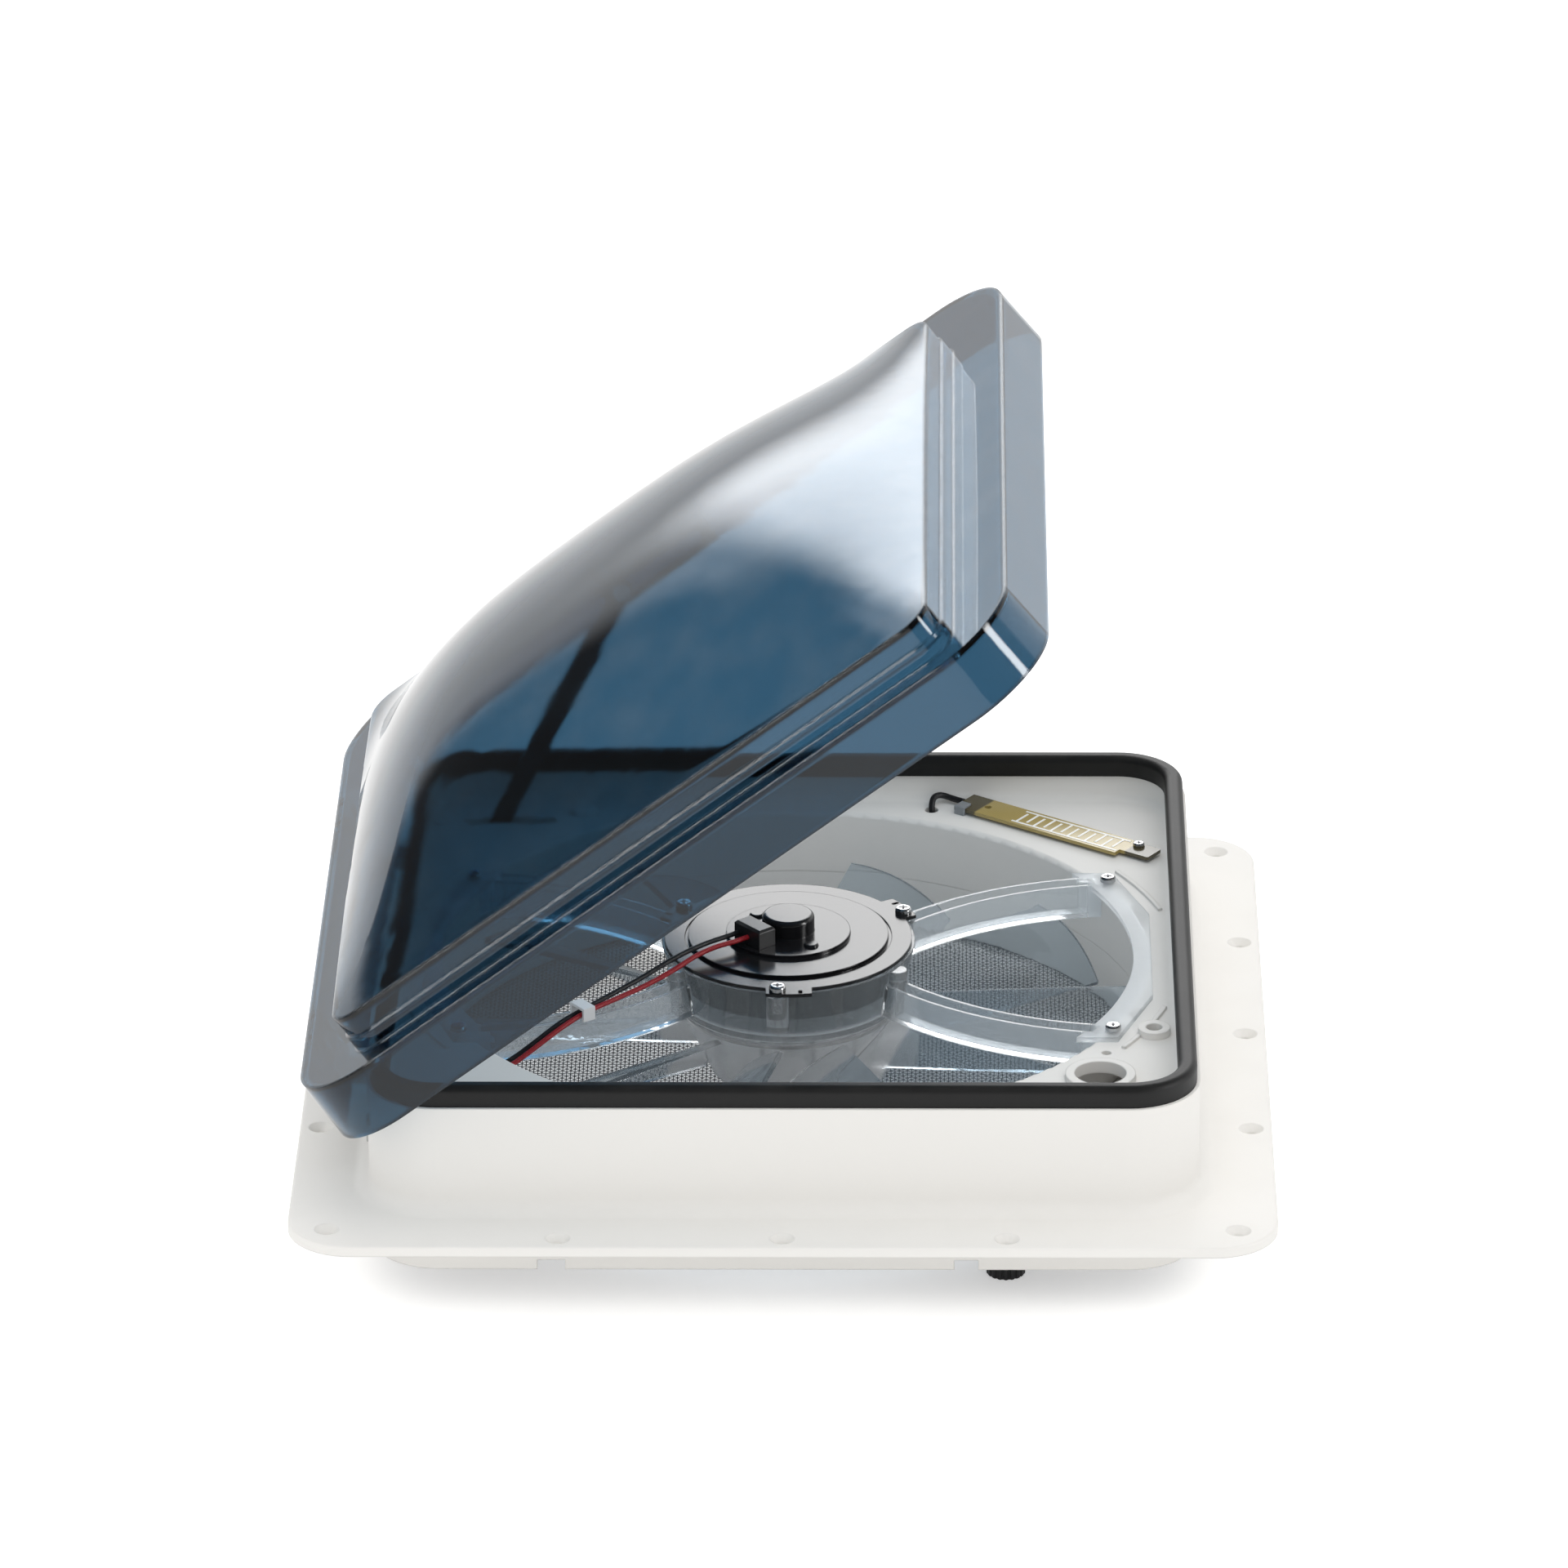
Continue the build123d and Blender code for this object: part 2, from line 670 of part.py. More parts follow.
with BuildPart() as motor_end_plate:
    with BuildSketch(Plane.XY.offset(motor_plate_bottom)):
        Circle(motor_plate_radius)
        for angle in tab_angles:
            turn = radians(angle)
            with Locations(Location((0, 0), angle)):
                with Locations((tab_outer_radius / 2, 0)):
                    Rectangle(tab_outer_radius, tab_width)
        Circle(tab_outer_radius, mode=Mode.INTERSECT)
        for angle in tab_angles:
            screw_turn = radians(angle - tab_screw_lag)
            with Locations((tab_circle * cos(screw_turn), tab_circle * sin(screw_turn))):
                Circle(motor_pilot_radius + screw_clearance, mode=Mode.SUBTRACT)
            slot_turn = radians(angle + tab_screw_lag)
            slot_circle = tab_outer_radius - tab_slot_inset
            with Locations((slot_circle * cos(slot_turn), slot_circle * sin(slot_turn))):
                SlotOverall(tab_slot_length, tab_slot_width,
                            rotation=angle, mode=Mode.SUBTRACT)
    extrude(amount=motor_plate_thickness)
    with BuildSketch(Plane.XZ):
        with BuildLine():
            Polyline(
                (0, cap_top), (cap_radius, cap_top), (cap_radius, mid_disc_top),
                (mid_disc_radius, mid_disc_top), (mid_disc_radius, inner_disc_top),
                (groove_inner, inner_disc_top), (groove_inner, motor_plate_bottom),
                (0, motor_plate_bottom), close=True,
            )
        make_face()
    revolve(axis=Axis.Z)
    cap_edges = motor_end_plate.edges().filter_by(GeomType.CIRCLE).sort_by(Axis.Z)[-1]
    fillet(cap_edges, cap_round)
    with BuildSketch(Plane.XY.offset(plate_top)):
        Circle(groove_outer)
        Circle(groove_inner, mode=Mode.SUBTRACT)
    extrude(amount=-groove_depth, mode=Mode.SUBTRACT)
    with BuildSketch(Plane.XZ):
        with BuildLine():
            Polyline(
                (0, cap_top - motor_plate_thickness),
                (cap_radius - motor_plate_thickness, cap_top - motor_plate_thickness),
                (cap_radius - motor_plate_thickness, mid_disc_top - motor_plate_thickness),
                (mid_disc_radius - motor_plate_thickness, mid_disc_top - motor_plate_thickness),
                (mid_disc_radius - motor_plate_thickness, inner_disc_top - motor_plate_thickness),
                (groove_inner - motor_plate_thickness, inner_disc_top - motor_plate_thickness),
                (groove_inner - motor_plate_thickness, motor_plate_bottom),
                (0, motor_plate_bottom), close=True,
            )
        make_face()
    revolve(axis=Axis.Z, mode=Mode.SUBTRACT)
    with BuildSketch(Plane.XY.offset(mid_disc_top)):
        with Locations(*bump_places):
            Circle(bump_radius)
    extrude(amount=bump_height)
    bump_edges = [
        edge for edge in motor_end_plate.edges().filter_by(GeomType.CIRCLE)
        if abs(edge.radius - bump_radius) < face_gap
        and edge.center().Z > mid_disc_top + bump_height / 2
    ]
    fillet(bump_edges, bump_height - face_gap)

motor_end_plate.part.label = "motor_end_plate"
export_step(motor_end_plate.part, "parts/motor_end_plate.step")

motor_screw_head = 3.6
motor_screw_head_height = 2.6
motor_screw = pan_screw(
    motor_pilot_radius, motor_screw_head, motor_screw_head_height,
    plate_top - (cup_top + boss_bottom) / 2 - face_gap,
)
motor_screws = placed(
    motor_screw,
    ring_places(tab_circle, [angle - tab_screw_lag for angle in tab_angles], plate_top),
    "motor_screws",
)
export_step(motor_screws, "parts/motor_screws.step")

with BuildPart() as motor_can:
    with BuildSketch(Plane.XY.offset(can_bottom)):
        Circle(can_radius)
    extrude(amount=motor_plate_bottom - can_bottom)
    fillet(motor_can.edges().group_by(Axis.Z)[0], can_wall)
    with BuildSketch(Plane.XY.offset(bush_housing_bottom)):
        Circle(bush_housing_radius)
    extrude(amount=can_bottom - bush_housing_bottom)
    with BuildSketch(Plane.XY.offset(can_bottom + can_wall)):
        Circle(can_radius - can_wall)
    extrude(amount=motor_plate_bottom - can_bottom, mode=Mode.SUBTRACT)
    with BuildSketch(Plane.XY.offset(bush_housing_bottom)):
        Circle(bush_housing_radius - can_wall)
    extrude(amount=can_bottom + can_wall - bush_housing_bottom, mode=Mode.SUBTRACT)

motor_can.part.label = "motor_can"
export_step(motor_can.part, "parts/motor_can.step")

with BuildPart() as motor_magnets:
    for angle in (0, 90, 180, 270):
        with BuildSketch(Plane.XY.offset(magnet_bottom)):
            with BuildLine():
                CenterArc((0, 0), can_radius - can_wall - magnet_thickness / 2,
                          angle - magnet_sweep / 2, magnet_sweep)
            trace(line_width=magnet_thickness)
        extrude(amount=magnet_top - magnet_bottom)

motor_magnets.part.label = "motor_magnets"
export_step(motor_magnets.part, "parts/motor_magnets.step")


def bush(outer, bottom, name):
    """Plain sintered bush round the motor shaft."""
    with BuildPart() as sleeve:
        with BuildSketch(Plane.XY.offset(bottom)):
            Circle(outer)
            Circle(shaft_radius + running_clearance, mode=Mode.SUBTRACT)
        extrude(amount=bush_height)
    sleeve.part.label = name
    export_step(sleeve.part, f"parts/{name}.step")


bush(bush_housing_radius - can_wall, bush_housing_bottom, "lower_bush")
bush(cap_radius - motor_plate_thickness, mid_disc_top, "upper_bush")

brush_plate_radius = 24.5
brush_plate_hole = 11.0
brush_plate_thickness = 1.5
brush_width = 5.0
brush_inner = 9.15
brush_outer = 19.0
brush_height = 3.6
commutator_radius = 9.0

brush_plate_top = mid_disc_top - motor_plate_thickness
brush_top = brush_plate_top - brush_plate_thickness

with BuildPart() as brush_plate:
    with BuildSketch(Plane.XY.offset(brush_top)):
        Circle(brush_plate_radius)
        Circle(brush_plate_hole, mode=Mode.SUBTRACT)
    extrude(amount=brush_plate_thickness)

brush_plate.part.label = "brush_plate"
export_step(brush_plate.part, "parts/brush_plate.step")

with BuildPart() as motor_brushes:
    with BuildSketch(Plane.XY.offset(brush_top)):
        for side in (-1, 1):
            with Locations((side * (brush_inner + brush_outer) / 2, 0)):
                Rectangle(brush_outer - brush_inner, brush_width)
    extrude(amount=-brush_height)

motor_brushes.part.label = "motor_brushes"
export_step(motor_brushes.part, "parts/motor_brushes.step")

connector_angle = 220.6
connector_face = 23.3
connector_depth = 9.0
connector_width = 16.8
connector_height = 8.7
connector_edge = 1.0
lead_pitch = 6.4
lead_shift = -2.6
lead_exit_run = 7.0
lead_radius = 1.1
lead_exit_height = 58.0

connector_plane = Plane(origin=(0, 0, mid_disc_top), z_dir=(0, 0, 1)).rotated(
    (0, 0, connector_angle)
)
with BuildPart() as motor_connector:
    with BuildSketch(connector_plane):
        with Locations((connector_face - connector_depth / 2, 0)):
            Rectangle(connector_depth, connector_width)
        Circle(cap_radius + face_gap, mode=Mode.SUBTRACT)
    extrude(amount=connector_height)
    chamfer(motor_connector.edges().group_by(Axis.Z)[-1], connector_edge)

motor_connector.part.label = "motor_connector"
export_step(motor_connector.part, "parts/motor_connector.step")

# Motor leads: from the connector down into an arm, through the throat and under the deck

turn = radians(connector_angle)
lead_out = Vector(cos(turn), sin(turn), 0)
lead_side = Vector(-sin(turn), cos(turn), 0)
face_middle = lead_out * connector_face + Vector(0, 0, lead_exit_height)
red_exit = face_middle + lead_side * (lead_shift + lead_pitch / 2)
black_exit = face_middle + lead_side * (lead_shift - lead_pitch / 2)

box_inside = box_left + 2 * box_wall
red_points = [
    tuple(red_exit),
    tuple(red_exit + lead_out * lead_exit_run),
    (-31.0, -24.2, 57.4),
    (-39.5, -30.0, 55.8),
    (-48.0, -37.4, 52.9),
    (-59.5, -46.0, 49.6),
    (-73.0, -55.5, 47.3),
    (-86.5, -66.0, 45.7),
    (-97.0, -76.5, 42.8),
    (-107.5, -83.2, 36.8),
    (-117.0, -89.2, 31.6),
    (-127.6, -96.2, 29.4),
    (-136.5, -105.5, 30.5),
    (-140.0, -119.5, 33.2),
    (-134.0, -137.0, 35.6),
    (-116.0, -151.0, 36.0),
    (-88.0, -160.0, 35.6),
    (-48.0, -164.5, 36.0),
    (-8.0, -164.0, 35.6),
    (28.0, -162.0, 33.4),
    (60.0, -158.0, 29.8),
    (box_inside, -156.6, 28.6),
]
black_points = [
    tuple(black_exit),
    tuple(black_exit + lead_out * lead_exit_run),
    (-35.0, -20.4, 57.4),
    (-44.0, -27.4, 56.2),
    (-52.5, -33.8, 54.0),
    (-62.0, -41.2, 50.8),
    (-74.0, -50.8, 47.9),
    (-85.5, -61.6, 46.0),
    (-96.5, -71.6, 43.8),
    (-107.0, -79.4, 38.2),
    (-117.6, -85.0, 32.0),
    (-129.6, -93.2, 29.4),
    (-140.0, -101.0, 29.6),
    (-147.0, -114.0, 31.4),
    (-145.0, -133.0, 34.6),
    (-128.5, -151.5, 36.0),
    (-98.0, -163.0, 35.6),
    (-60.0, -168.4, 36.0),
    (-18.0, -168.2, 35.6),
    (24.0, -166.6, 33.4),
    (58.0, -163.2, 29.8),
    (box_inside, -162.2, 28.6),
]


def lead(points, radius, name):
    """Sheathed wire swept along its route."""
    radii = cord_route(points)
    with BuildPart() as wire:
        with BuildLine() as route:
            FilletPolyline(*points, radius=radii)
        start = Vector(*points[1]) - Vector(*points[0])
        with BuildSketch(Plane(origin=points[0], z_dir=start)):
            Circle(radius)
        sweep()
    report_cord(name, wire.part, route.wire().length, radius, radii)
    wire.part.label = name
    export_step(wire.part, f"parts/{name}.step")
    return wire.part


red_lead = lead(red_points, lead_radius, "red_lead")
black_lead = lead(black_points, lead_radius, "black_lead")

clip_place = (-87.3, -64.4)
clip_turn = 217.0
clip_length = 6.0
clip_wall = 1.2
clip_inner_half = 3.9
clip_top = 47.8

clip_plane = Plane(origin=(*clip_place, arm_top), z_dir=(0, 0, 1)).rotated((0, 0, clip_turn))
with BuildPart() as lead_clip:
    with BuildSketch(clip_plane):
        Rectangle(clip_length, 2 * (clip_inner_half + clip_wall))
    extrude(amount=clip_top - arm_top + clip_wall)
    with BuildSketch(clip_plane):
        Rectangle(clip_length + overrun, 2 * clip_inner_half)
    extrude(amount=clip_top - arm_top, mode=Mode.SUBTRACT)

lead_clip.part.label = "lead_clip"
export_step(lead_clip.part, "parts/lead_clip.step")

# Rain sensor board: printed board with two bare interlocking combs on its top

pad_length = 14.0
pad_width = 11.0
pad_across = 1.6
board_hole_along = -37.3
board_hole_radius = 1.6
trace_thickness = 0.15
trace_width = 1.1
comb_start = -20.5
comb_end = 36.0
comb_pitch = 4.6
comb_reach = 9.6
bus_across = 5.8

sensor_plane = board_plane.offset(board_lift)
board_end = board_length / 2
with BuildPart() as rain_sensor_board:
    with BuildSketch(sensor_plane):
        with Locations((-pad_length / 2, 0)):
            Rectangle(board_length - pad_length, board_width)
        with Locations((board_end - pad_length / 2, pad_across)):
            RectangleRounded(pad_length + 2 * overrun, pad_width, overrun)
        with Locations((board_screw_along, board_screw_across)):
            Circle(board_pilot_radius + screw_clearance, mode=Mode.SUBTRACT)
        with Locations((board_hole_along, 0)):
            Circle(board_hole_radius, mode=Mode.SUBTRACT)
    extrude(amount=board_thickness)

rain_sensor_board.part.label = "rain_sensor_board"
export_step(rain_sensor_board.part, "parts/rain_sensor_board.step")

comb_count = int((comb_end - comb_start) // comb_pitch)
with BuildPart() as sensor_traces:
    with BuildSketch(sensor_plane.offset(board_thickness)):
        for side in (-1, 1):
            with Locations(((comb_start + comb_end) / 2, side * bus_across)):
                Rectangle(comb_end - comb_start, trace_width)
        for finger in range(comb_count):
            side = 1 if finger % 2 else -1
            along = comb_start + comb_pitch * (finger + 1 / 2)
            with Locations((along, side * (bus_across - comb_reach / 2))):
                Rectangle(trace_width, comb_reach)
    extrude(amount=trace_thickness)

sensor_traces.part.label = "sensor_traces"
export_step(sensor_traces.part, "parts/sensor_traces.step")

sensor_screw_head = 2.6
sensor_screw_head_height = 1.8
sensor_screw_part = pan_screw(
    board_pilot_radius, sensor_screw_head, sensor_screw_head_height,
    board_thickness + board_lift + deck_pilot_depth,
)
screw_seat = sensor_plane.offset(board_thickness)
screw_spot = screw_seat.from_local_coords((board_screw_along, board_screw_across, 0))
sensor_screw = placed(sensor_screw_part, [Plane(screw_spot)], "sensor_screw")
export_step(sensor_screw, "parts/sensor_screw.step")

sensor_clip_along = -47.0
sensor_clip_length = 5.0
sensor_clip_wall = 1.2
sensor_clip_reach = 6.0

with BuildPart() as sensor_clip:
    clip_face = board_width / 2 + screw_clearance
    with BuildSketch(board_plane):
        with Locations((sensor_clip_along, -clip_face - sensor_clip_wall / 2)):
            Rectangle(sensor_clip_length, sensor_clip_wall)
    extrude(amount=board_lift + board_thickness + screw_clearance)
    with BuildSketch(sensor_plane.offset(board_thickness + screw_clearance)):
        with Locations((
            sensor_clip_along, -clip_face - sensor_clip_wall + sensor_clip_reach / 2
        )):
            Rectangle(sensor_clip_length, sensor_clip_reach)
    extrude(amount=sensor_clip_wall)
    fillet(sensor_clip.edges().group_by(Axis.Z)[-1], sensor_clip_wall / 2)

sensor_clip.part.label = "sensor_clip"
export_step(sensor_clip.part, "parts/sensor_clip.step")

sensor_lead_radius = 1.4
sensor_exit_run = 6.0
board_tail = sensor_plane.from_local_coords((-board_end, 0, board_thickness / 2))
board_out = board_plane.x_dir * -sensor_exit_run
sensor_points = [
    tuple(board_tail),
    tuple(board_tail + board_out),
    (66.2, 165.4, 44.4),
    (62.8, 161.8, 44.8),
    (61.9, 157.8, 41.4),
    (63.0, 156.6, 36.4),
    (68.5, 157.9, 33.6),
    (82.0, 158.6, 34.0),
    (106.0, 151.0, 34.4),
    (131.0, 133.5, 34.4),
    (148.0, 107.5, 34.4),
    (159.0, 76.0, 34.4),
    (164.5, 42.0, 34.2),
    (166.2, 6.0, 34.4),
    (165.0, -30.0, 34.2),
    (160.4, -66.0, 34.0),
    (154.0, -99.0, 31.6),
    (149.5, -127.0, 28.6),
    (147.0, -142.0, 27.2),
    (139.5, -151.8, 26.4),
    (box_right - 2 * box_wall, -153.0, 26.2),
]
sensor_lead = lead(sensor_points, sensor_lead_radius, "sensor_lead")

# Control box: tray under the deck with a board, a rotary switch and its knob

box_bottom = -14.0
box_ear_thickness = 2.4
box_lead_slack = 0.8
knob_x = 94.0
knob_y = -146.0
knob_radius = 8.3
knob_bottom = -38.0
knob_top = -17.0
knob_bore_depth = 14.0
knob_rib_count = 18
knob_rib_radius = 0.6
knob_edge = 1.5
selector_radius = 3.0
switch_side = 9.6
switch_height = 8.0
switch_bottom = -10.0
control_board_thickness = 1.6
control_post_side = 5.0

box_screw_head = 3.0
box_screw_head_height = 2.0

control_board_bottom = switch_bottom + switch_height
with BuildPart() as control_box:
    box_length = box_right - box_left
    box_width = box_back - box_front
    box_middle = ((box_left + box_right) / 2, (box_front + box_back) / 2)
    with BuildSketch(Plane.XY.offset(box_bottom)):
        with Locations(box_middle):
            RectangleRounded(box_length, box_width, box_wall)
    extrude(amount=deck_bottom - box_bottom)
    with BuildSketch(Plane.XY.offset(deck_bottom - box_ear_thickness)):
        with Locations(*box_ear_places):
            Rectangle(box_ear + 2 * box_wall, box_ear)
    extrude(amount=box_ear_thickness)
    with BuildSketch(Plane.XY.offset(box_bottom + box_wall)):
        with Locations(box_middle):
            Rectangle(box_length - 2 * box_wall, box_width - 2 * box_wall)
    extrude(amount=deck_bottom - box_bottom, mode=Mode.SUBTRACT)
    with BuildSketch(Plane.XY.offset(box_bottom + box_wall)):
        for x, y in ((-1, -1), (1, -1), (1, 1)):
            with Locations((
                box_middle[0] + x * (box_length / 2 - box_wall - control_post_side / 2),
                box_middle[1] + y * (box_width / 2 - box_wall - control_post_side / 2),
            )):
                Rectangle(control_post_side, control_post_side)
    extrude(amount=control_board_bottom - box_bottom - box_wall)
    with BuildSketch(Plane.XY.offset(box_bottom)):
        with Locations((knob_x, knob_y)):
            Circle(selector_radius + face_gap)
    extrude(amount=box_wall, mode=Mode.SUBTRACT)
    with BuildSketch(Plane.XY.offset(deck_bottom)):
        with Locations(*box_ear_places):
            Circle(deck_pilot_radius + screw_clearance)
    extrude(amount=-box_ear_thickness, mode=Mode.SUBTRACT)
    lead_row = Plane.YZ.offset(box_left - overrun)
    with BuildSketch(lead_row):
        for points in (red_points, black_points):
            with Locations((points[-1][1], points[-1][2])):
                Circle(lead_radius + box_lead_slack)
    extrude(amount=box_wall + overrun, mode=Mode.SUBTRACT)
    with BuildSketch(Plane.YZ.offset(box_right - box_wall)):
        with Locations((sensor_points[-1][1], sensor_points[-1][2])):
            Circle(sensor_lead_radius + box_lead_slack)
    extrude(amount=box_wall + overrun, mode=Mode.SUBTRACT)

control_box.part.label = "control_box"
export_step(control_box.part, "parts/control_box.step")

box_screw = pan_screw(
    deck_pilot_radius, box_screw_head, box_screw_head_height, box_ear_thickness + deck_pilot_depth
)
box_screw_planes = []
for place in box_ear_places:
    box_screw_planes.append(
        Plane(origin=(*place, deck_bottom - box_ear_thickness), z_dir=(0, 0, -1))
    )
control_box_screws = placed(box_screw, box_screw_planes, "control_box_screws")
export_step(control_box_screws, "parts/control_box_screws.step")

with BuildPart() as control_board:
    with BuildSketch(Plane.XY.offset(control_board_bottom)):
        with Locations(box_middle):
            Rectangle(
                box_length - 2 * box_wall - 2 * face_gap, box_width - 2 * box_wall - 2 * face_gap
            )
        with Locations((knob_x, knob_y)):
            Circle(selector_radius + face_gap, mode=Mode.SUBTRACT)
    extrude(amount=control_board_thickness)

control_board.part.label = "control_board"
export_step(control_board.part, "parts/control_board.step")

with BuildPart() as selector_switch:
    with BuildSketch(Plane.XY.offset(switch_bottom)):
        with Locations((knob_x, knob_y)):
            RectangleRounded(switch_side, switch_side, overrun)
            Circle(selector_radius + running_clearance, mode=Mode.SUBTRACT)
    extrude(amount=switch_height)

selector_switch.part.label = "selector_switch"
export_step(selector_switch.part, "parts/selector_switch.step")

with BuildPart() as selector_shaft:
    with BuildSketch(Plane.XY.offset(knob_top - knob_bore_depth)):
        with Locations((knob_x, knob_y)):
            Circle(selector_radius)
    extrude(amount=control_board_bottom + knob_bore_depth - knob_top)

selector_shaft.part.label = "selector_shaft"
export_step(selector_shaft.part, "parts/selector_shaft.step")

with BuildPart() as selector_knob:
    with BuildSketch(Plane.XY.offset(knob_bottom)):
        with Locations((knob_x, knob_y)):
            Circle(knob_radius)
            with PolarLocations(knob_radius, knob_rib_count):
                Circle(knob_rib_radius, mode=Mode.SUBTRACT)
    extrude(amount=knob_top - knob_bottom)
    chamfer(
        [e for e in selector_knob.edges().group_by(Axis.Z)[0] if e.length > knob_rib_radius],
        knob_edge / 3,
    )
    with BuildSketch(Plane.XY.offset(knob_top - knob_bore_depth)):
        with Locations((knob_x, knob_y)):
            Circle(selector_radius)
    extrude(amount=knob_bore_depth, mode=Mode.SUBTRACT)
    with BuildSketch(Plane.XY.offset(knob_bottom)):
        with Locations((knob_x, knob_y + knob_radius / 2)):
            Rectangle(knob_edge, knob_radius * 2 / 3)
    extrude(amount=knob_edge / 2, mode=Mode.SUBTRACT)

selector_knob.part.label = "selector_knob"
export_step(selector_knob.part, "parts/selector_knob.step")

# Fan: clear moulded wheel on the motor shaft, with the armature inside the can

hub_top = 21.0
hub_bottom = -10.0
hub_top_radius = 48.0
hub_bottom_radius = 34.0
hub_wall = 2.2
hub_boss_radius = 8.0
hub_boss_bottom = 2.0
hub_rib_count = 10
hub_rib_width = 2.0
hub_rib_bottom = 4.0
blade_count = 10
blade_tip_gap = 2.5
blade_tip_radius = throat_radius - blade_tip_gap
blade_thickness = 2.2
blade_root_chord = 33.0
blade_tip_chord = 50.0
blade_root_pitch = 44.0
blade_tip_pitch = 24.0
blade_camber_share = 0.09
blade_middle = 5.0
shaft_bottom = -5.0
shaft_top = 60.2
nut_radius = 5.0
nut_height = 5.0
armature_radius = 36.5
armature_bottom = 37.6
armature_top = 46.6
armature_slots = 12
armature_slot_width = 5.0
armature_slot_depth = 15.0
commutator_top = 51.2

hub_slope = (hub_top_radius - hub_bottom_radius) / (hub_top - hub_bottom)


def blade_section(radius, chord, pitch):
    """Cambered plate section of a blade, square to its radius."""
    plane = Plane(origin=(radius, 0, blade_middle), x_dir=(0, 1, 0), z_dir=(1, 0, 0))
    rise = chord * blade_camber_share
    with BuildSketch(plane.rotated((pitch, 0, 0))) as section:
        with BuildLine():
            ThreePointArc((-chord / 2, 0), (0, rise), (chord / 2, 0))
            Line((chord / 2, 0), (chord / 2, blade_thickness))
            ThreePointArc(
                (chord / 2, blade_thickness), (0, rise + blade_thickness),
                (-chord / 2, blade_thickness),
            )
            Line((-chord / 2, blade_thickness), (-chord / 2, 0))
        make_face()
    return section.sketch


blade_root_radius = hub_bottom_radius + hub_wall
blade_mid_radius = (blade_root_radius + blade_tip_radius) / 2
with BuildPart() as blade:
    loft([
        blade_section(blade_root_radius, blade_root_chord, blade_root_pitch),
        blade_section(
            blade_mid_radius, (blade_root_chord + blade_tip_chord) / 2,
            (blade_root_pitch + blade_tip_pitch) / 2,
        ),
        blade_section(blade_tip_radius, blade_tip_chord, blade_tip_pitch),
    ])

with BuildPart() as fan_wheel:
    with BuildSketch(Plane.XZ):
        with BuildLine():
            Polyline(
                (0, hub_bottom), (hub_bottom_radius, hub_bottom),
                (hub_top_radius, hub_top), (0, hub_top), close=True,
            )
        make_face()
    revolve(axis=Axis.Z)
    with PolarLocations(0, blade_count):
        add(blade.part)
    with BuildSketch(Plane.XY.offset(hub_bottom - overrun)):
        Circle(blade_tip_radius)
    extrude(amount=hub_top - hub_bottom + overrun, mode=Mode.INTERSECT)
    with BuildSketch(Plane.XZ):
        with BuildLine():
            Polyline(
                (0, hub_bottom), (hub_bottom_radius - hub_wall, hub_bottom),
                (hub_top_radius - hub_wall - hub_slope * hub_wall, hub_top - hub_wall),
                (0, hub_top - hub_wall), close=True,
            )
        make_face()
    revolve(axis=Axis.Z, mode=Mode.SUBTRACT)
    with BuildSketch(Plane.XY.offset(hub_boss_bottom)):
        Circle(hub_boss_radius)
    extrude(amount=hub_top - hub_wall - hub_boss_bottom)
    with BuildSketch(Plane.XY.offset(hub_rib_bottom)):
        with PolarLocations(0, hub_rib_count):
            with Locations((hub_bottom_radius / 2 + hub_wall, 0)):
                Rectangle(hub_bottom_radius - hub_wall, hub_rib_width)
    extrude(amount=hub_top - hub_wall - hub_rib_bottom)
    with BuildSketch(Plane.XY.offset(hub_boss_bottom)):
        Circle(shaft_radius)
    extrude(amount=hub_top - hub_boss_bottom, mode=Mode.SUBTRACT)

fan_wheel.part.label = "fan_wheel"
export_step(fan_wheel.part, "parts/fan_wheel.step")

with BuildPart() as motor_shaft:
    with BuildSketch(Plane.XY.offset(shaft_bottom)):
        Circle(shaft_radius)
    extrude(amount=shaft_top - shaft_bottom)

motor_shaft.part.label = "motor_shaft"
export_step(motor_shaft.part, "parts/motor_shaft.step")

with BuildPart() as wheel_nut:
    with BuildSketch(Plane.XY.offset(hub_boss_bottom)):
        RegularPolygon(nut_radius, 6)
        Circle(shaft_radius, mode=Mode.SUBTRACT)
    extrude(amount=-nut_height)

wheel_nut.part.label = "wheel_nut"
export_step(wheel_nut.part, "parts/wheel_nut.step")

with BuildPart() as armature:
    with BuildSketch(Plane.XY.offset(armature_bottom)):
        Circle(armature_radius)
        with PolarLocations(armature_radius, armature_slots):
            Rectangle(2 * armature_slot_depth, armature_slot_width, mode=Mode.SUBTRACT)
        Circle(shaft_radius, mode=Mode.SUBTRACT)
    extrude(amount=armature_top - armature_bottom)

armature.part.label = "armature"
export_step(armature.part, "parts/armature.step")

with BuildPart() as commutator:
    with BuildSketch(Plane.XY.offset(armature_top)):
        Circle(commutator_radius)
        Circle(shaft_radius, mode=Mode.SUBTRACT)
    extrude(amount=commutator_top - armature_top)

commutator.part.label = "commutator"
export_step(commutator.part, "parts/commutator.step")

# Lid: smoked dome with a down-turned skirt, drawn open about its hinge line
# In the lid's own frame x runs out from the hinge, y along it and z out of the lid

skirt_height = 28.0
skirt_flare = 1.3
dome_left = -154.0
dome_right = 158.0
dome_front = -188.0
dome_back = 149.0
dome_corner = 14.0
lower_tier = 7.5
upper_tier = 10.1
tier_ledge = 1.0
pillow_rise = 47.0
pillow_edge_rise = 0.3
pillow_power = 3
pillow_shares = (-1.0, -0.88, -0.66, -0.33, 0.0, 0.33, 0.66, 0.88, 1.0)
hinge_notch_half = 21.0
hinge_notch_height = 8.0

# Hinge values shared by the lid's leaves, the brackets and the pins

